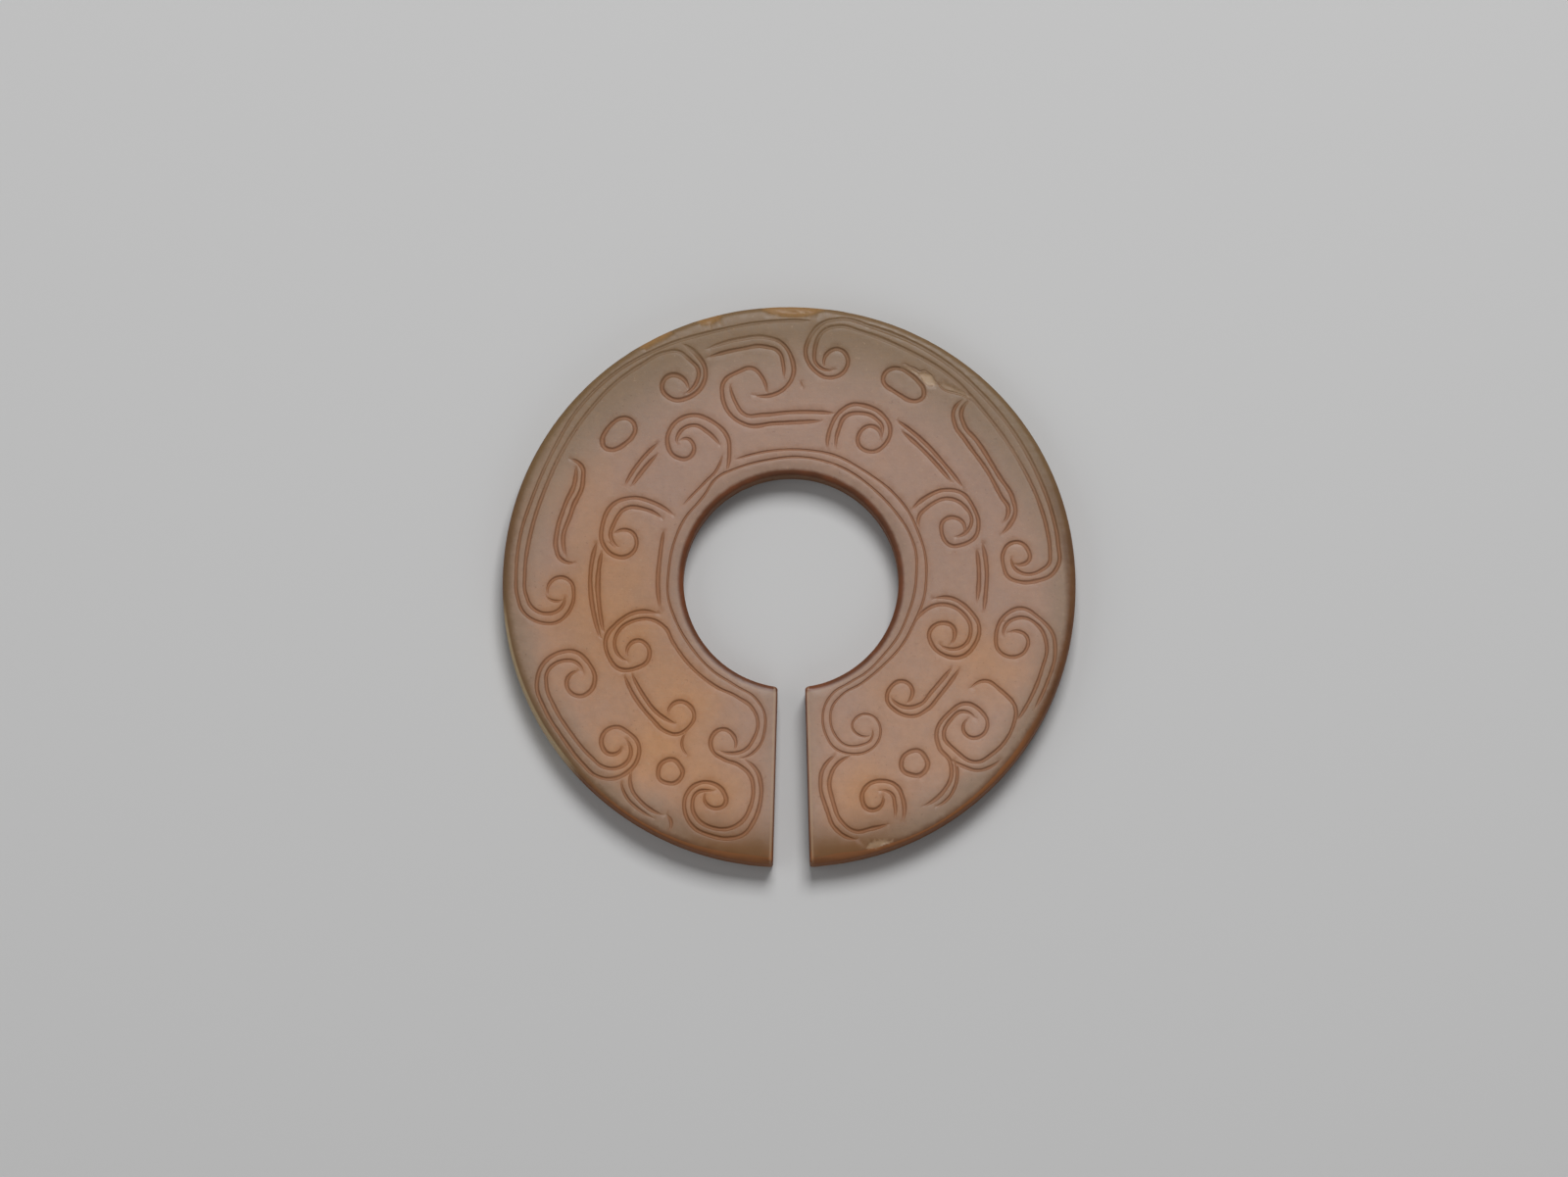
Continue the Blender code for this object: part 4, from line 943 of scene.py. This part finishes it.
def jade_material():
    material = bpy.data.materials.new("worn_jade")
    nodes = Nodes(material)
    coordinates = nodes.tree.nodes.new("ShaderNodeTexCoord")
    scaled = nodes.tree.nodes.new("ShaderNodeVectorMath")
    scaled.operation = "SCALE"
    nodes.put(scaled.inputs[0], coordinates.outputs["Object"])
    scaled.inputs["Scale"].default_value = 1.0 / MM
    place = scaled.outputs[0]
    parts = nodes.add("ShaderNodeSeparateXYZ", Vector=place)
    x, y = parts.outputs["X"], parts.outputs["Y"]

    big = nodes.clouds(place, 0.09, 2.0)
    middle = nodes.clouds(place, 0.33, 4.0, 0.6)
    fine = nodes.clouds(place, 1.6, 5.0, 0.65)
    specks = nodes.clouds(place, 3.4, 2.0, 0.6)

    rim, bore, slit, cut = [nodes.value(name) for name in ("rim", "bore", "slit", "cut")]
    edge = nodes.value("edge")
    wander = nodes.sum("MULTIPLY", nodes.sum("SUBTRACT", middle, 0.5), 5.0)
    warm = nodes.sum("ADD", nodes.value("warm"), nodes.sum("MULTIPLY", wander, 0.12), clamp=True)
    colour = nodes.mix(warm, PINK, WARM)
    upper = nodes.ramp(nodes.sum("ADD", y, wander), -2.0, 22.0)
    band = nodes.sum("MULTIPLY_ADD", upper, 3.8, 1.7)
    from_band = nodes.sum("MULTIPLY_ADD", wander, 0.4, rim)
    from_band = nodes.sum("DIVIDE", from_band, band)
    # Painted shade: the face turns darker and greyer over a band along the rim, the band wider away
    # from the slit
    colour = nodes.mix(nodes.ramp(from_band, 2.0, 0.4, 0.0, 0.8), colour, GREENISH_RIM_SHADE)
    olive = nodes.sum("MULTIPLY", upper, nodes.ramp(from_band, 1.1, 0.2))
    colour = nodes.mix(olive, colour, OLIVE)
    # Paler bands beside the hole and the slit: partly a paler tone of the stone, partly painted
    # sheen
    colour = nodes.mix(nodes.ramp(bore, 2.2, 0.7, 0.0, 0.6), colour, PALE_TONE_AND_SHEEN)
    colour = nodes.mix(nodes.ramp(slit, 1.8, 0.3, 0.0, 0.7), colour, PALE_TONE_AND_SHEEN)
    mottle = nodes.ramp(fine, 0.34, 0.68, 0.95, 1.045)
    cloudy = nodes.ramp(big, 0.3, 0.7, 0.96, 1.04)
    # Painted light: the face's colour is made up to 17% lighter towards the front, fading out near
    # the rim
    painted_front_light = nodes.sum("MULTIPLY", nodes.ramp(y, 2.0, -17.0), nodes.ramp(rim, 0.8, 3.0))
    painted_front_light = nodes.sum("MULTIPLY_ADD", painted_front_light, 0.17, 1.0)
    shade = nodes.sum("MULTIPLY", nodes.sum("MULTIPLY", mottle, cloudy), painted_front_light)
    colour = nodes.mix(1.0, colour, grey(nodes, shade), "MULTIPLY")
    colour = nodes.mix(nodes.ramp(specks, 0.66, 0.74, 0.0, 0.30), colour, CREAM)
    colour = nodes.mix(nodes.ramp(specks, 0.33, 0.26, 0.0, 0.25), colour, RIM_DARK)

    sideways = nodes.sum("ABSOLUTE", x, 0.0)
    front = nodes.sum("MULTIPLY", nodes.ramp(sideways, 12.0, 5.0), nodes.ramp(y, -12.0, -19.0))
    front = nodes.sum("MULTIPLY", front, nodes.ramp(rim, 5.0, 0.4))
    colour = nodes.mix(nodes.sum("MULTIPLY", front, 0.9), colour, FRONT_BROWN)
    staining = nodes.sum("MULTIPLY", nodes.value("stain"), nodes.ramp(warm, 0.0, 1.0, 0.2, 0.42))
    floor_brown = nodes.mix(olive, GROOVE, OLIVE_CUT)
    colour = nodes.mix(staining, colour, floor_brown)
    colour = nodes.mix(nodes.sum("MULTIPLY", cut, 0.5), colour, floor_brown)
    fading = nodes.ramp(olive, 0.0, 1.0, 0.42, 0.2)
    cut_walls = nodes.sum("MULTIPLY", nodes.value("cut_wall"), fading)
    colour = nodes.mix(cut_walls, colour, GROOVE_WALL)

    wavy = nodes.sum("MULTIPLY", nodes.sum("SUBTRACT", fine, 0.5), 0.3)
    to_right = nodes.sum("MULTIPLY_ADD", x, 0.87, nodes.sum("MULTIPLY", y, 0.5))
    wider = nodes.sum("ADD", nodes.ramp(to_right, 17.0, 22.0, 0.0, -0.4),
                      nodes.ramp(sideways, 12.0, 19.0, 0.0, -0.2))
    side_brown_and_left_highlight = nodes.mix(nodes.ramp(y, -6.0, 14.0), RIM_BROWN, TOP_RIM_AND_LEFT_HIGHLIGHT)
    patchy = nodes.ramp(middle, 0.42, 0.62, 0.0, 0.4)
    darker = nodes.sum("MULTIPLY", patchy, nodes.ramp(y, 12.0, 0.0))
    side_brown_and_left_highlight = nodes.mix(darker, side_brown_and_left_highlight, RIM_DARK)
    # Painted highlight: the brown edge band and wall at the front left are lightened towards the
    # top rim's colour
    to_left = nodes.sum("MULTIPLY_ADD", x, -0.92, nodes.sum("MULTIPLY", y, -0.39))
    side_brown_and_left_highlight = nodes.mix(nodes.ramp(to_left, 18.0, 21.5, 0.0, 0.7), side_brown_and_left_highlight, TOP_RIM_AND_LEFT_HIGHLIGHT)
    in_from_rim = nodes.sum("ADD", nodes.sum("ADD", rim, wavy), wider)
    later_at_left = nodes.ramp(x, -6.0, -13.0, 0.0, 4.5)
    front_edge = nodes.ramp(nodes.sum("ADD", y, later_at_left), -9.0, -15.0)
    colour = nodes.mix(nodes.ramp(in_from_rim, 0.7, 0.05), colour, side_brown_and_left_highlight)
    crisp = nodes.sum("MULTIPLY", nodes.ramp(edge, 1.04, 0.88), nodes.ramp(rim, 1.15, 0.9))
    colour = nodes.mix(nodes.sum("MULTIPLY", crisp, front_edge), colour, EDGE_BROWN)
    bore_brown = nodes.mix(nodes.ramp(middle, 0.42, 0.66, 0.15, 0.6), BORE_BROWN, BORE_RED)
    in_from_hole = nodes.sum("MULTIPLY_ADD", wavy, 0.4, bore)
    colour = nodes.mix(nodes.ramp(in_from_hole, 0.62, 0.3), colour, bore_brown)
    # Painted highlight: a thin cream line about 0.24 mm in from each slit edge
    slit_highlight_offset = nodes.sum("ABSOLUTE", nodes.sum("SUBTRACT", slit, 0.24), 0.0)
    colour = nodes.mix(nodes.ramp(slit_highlight_offset, 0.12, 0.03, 0.0, 0.3), colour, CREAM)
    colour = nodes.mix(nodes.ramp(slit, 0.16, 0.03), colour, bore_brown)
    wall_colour = nodes.mix(nodes.ramp(y, 2.0, 14.0), WALL_BROWN, side_brown_and_left_highlight)
    colour = nodes.mix(nodes.ramp(edge, 0.18, 0.01, 0.0, 0.8), colour, wall_colour)
    lit_edge = nodes.sum("MULTIPLY", nodes.ramp(rim, 0.26, 0.08), nodes.ramp(to_left, 21.3, 22.3))
    colour = nodes.mix(nodes.sum("MULTIPLY", lit_edge, 0.75), colour, LIT_EDGE)
    colour = nodes.mix(nodes.value("amber"), colour, AMBER)
    colour = nodes.mix(nodes.sum("MULTIPLY", nodes.value("pale"), 0.62), colour, CREAM)

    roughness = nodes.ramp(fine, 0.3, 0.7, 0.40, 0.50)
    roughness = nodes.sum("MULTIPLY_ADD", cut, 0.16, roughness)
    roughness = nodes.sum("ADD", roughness, nodes.ramp(edge, 0.9, 0.1, 0.0, 0.25))
    grain = nodes.clouds(place, 5.0, 4.0, 0.6)
    scratches = nodes.clouds(place, 1.3, 4.0, 0.6, stretch=(0.6, 5.0, 1.0))
    bump = nodes.tree.nodes.new("ShaderNodeBump")
    bump.inputs["Strength"].default_value = 0.2
    bump.inputs["Distance"].default_value = 0.03 * MM
    nodes.put(bump.inputs["Height"], nodes.sum("ADD", grain, nodes.sum("MULTIPLY", scratches, 0.6)))

    shader = nodes.tree.nodes.new("ShaderNodeBsdfPrincipled")
    nodes.put(shader.inputs["Base Color"], colour)
    nodes.put(shader.inputs["Roughness"], roughness)
    nodes.put(shader.inputs["Normal"], bump.outputs["Normal"])
    shader.inputs["IOR"].default_value = 1.61
    shader.inputs["Specular IOR Level"].default_value = 0.3
    shader.inputs["Subsurface Weight"].default_value = 0.25
    shader.inputs["Subsurface Radius"].default_value = (1.0, 0.6, 0.35)
    shader.inputs["Subsurface Scale"].default_value = 0.35 * MM
    result = nodes.tree.nodes.new("ShaderNodeOutputMaterial")
    nodes.tree.links.new(shader.outputs["BSDF"], result.inputs["Surface"])
    return material


# The stage, the light and the camera

def floor_material():
    material = bpy.data.materials.new("pale_floor")
    material.use_nodes = True
    shader = material.node_tree.nodes["Principled BSDF"]
    shader.inputs["Base Color"].default_value = FLOOR_COLOUR
    shader.inputs["Roughness"].default_value = 0.9
    shader.inputs["Specular IOR Level"].default_value = 0.1
    return material


def make_floor():
    half = FLOOR_HALF
    mesh = bpy.data.meshes.new("floor")
    mesh.from_pydata([(-half, -half, 0), (half, -half, 0), (half, half, 0), (-half, half, 0)],
                     [], [(0, 1, 2, 3)])
    floor = bpy.data.objects.new("floor", mesh)
    floor.location.z = -FLOOR_GAP * MM
    floor.data.materials.append(floor_material())
    bpy.context.scene.collection.objects.link(floor)


def soft_light(name, place, size, watts, colour=(1.0, 1.0, 1.0)):
    """A square light that looks at the ring."""
    light = bpy.data.lights.new(name, "AREA")
    light.size = size
    light.energy = watts
    light.color = colour
    lamp = bpy.data.objects.new(name, light)
    lamp.location = place
    lamp.rotation_euler = (-Vector(place)).to_track_quat("-Z", "Y").to_euler()
    bpy.context.scene.collection.objects.link(lamp)


def make_world(strength):
    world = bpy.data.worlds.new("soft_room")
    world.use_nodes = True
    background = world.node_tree.nodes["Background"]
    background.inputs["Color"].default_value = (1.0, 1.0, 1.0, 1.0)
    background.inputs["Strength"].default_value = strength
    bpy.context.scene.world = world


def make_camera():
    """The photo's camera: nearly overhead, from the slit's side."""
    target = Vector((-0.413, -0.327, 2.8)) * MM
    tilt = math.radians(CAMERA_TILT)
    lens = bpy.data.cameras.new("camera")
    lens.lens = LENS_PER_METRE * CAMERA_DISTANCE
    lens.sensor_width = 36.0
    lens.clip_start = 0.01
    camera = bpy.data.objects.new("camera", lens)
    back = Vector((0.0, -math.sin(tilt), math.cos(tilt)))
    camera.location = target + back * CAMERA_DISTANCE
    camera.rotation_euler = (-back).to_track_quat("-Z", "Y").to_euler()
    bpy.context.scene.collection.objects.link(camera)
    bpy.context.scene.camera = camera


ring = carved_jade()
ring.data.materials.append(jade_material())
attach(ring, "root")
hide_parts("slit_ring")

make_floor()
soft_light("key", (0.06, 0.29, 0.45), 0.24, 2.28)
soft_light("fill_left", (-0.40, -0.05, 0.35), 0.40, 0.4)
soft_light("fill_front", (0.15, -0.40, 0.30), 0.40, 0.3)
make_world(0.15)
make_camera()
bpy.context.scene.view_settings.view_transform = "Standard"
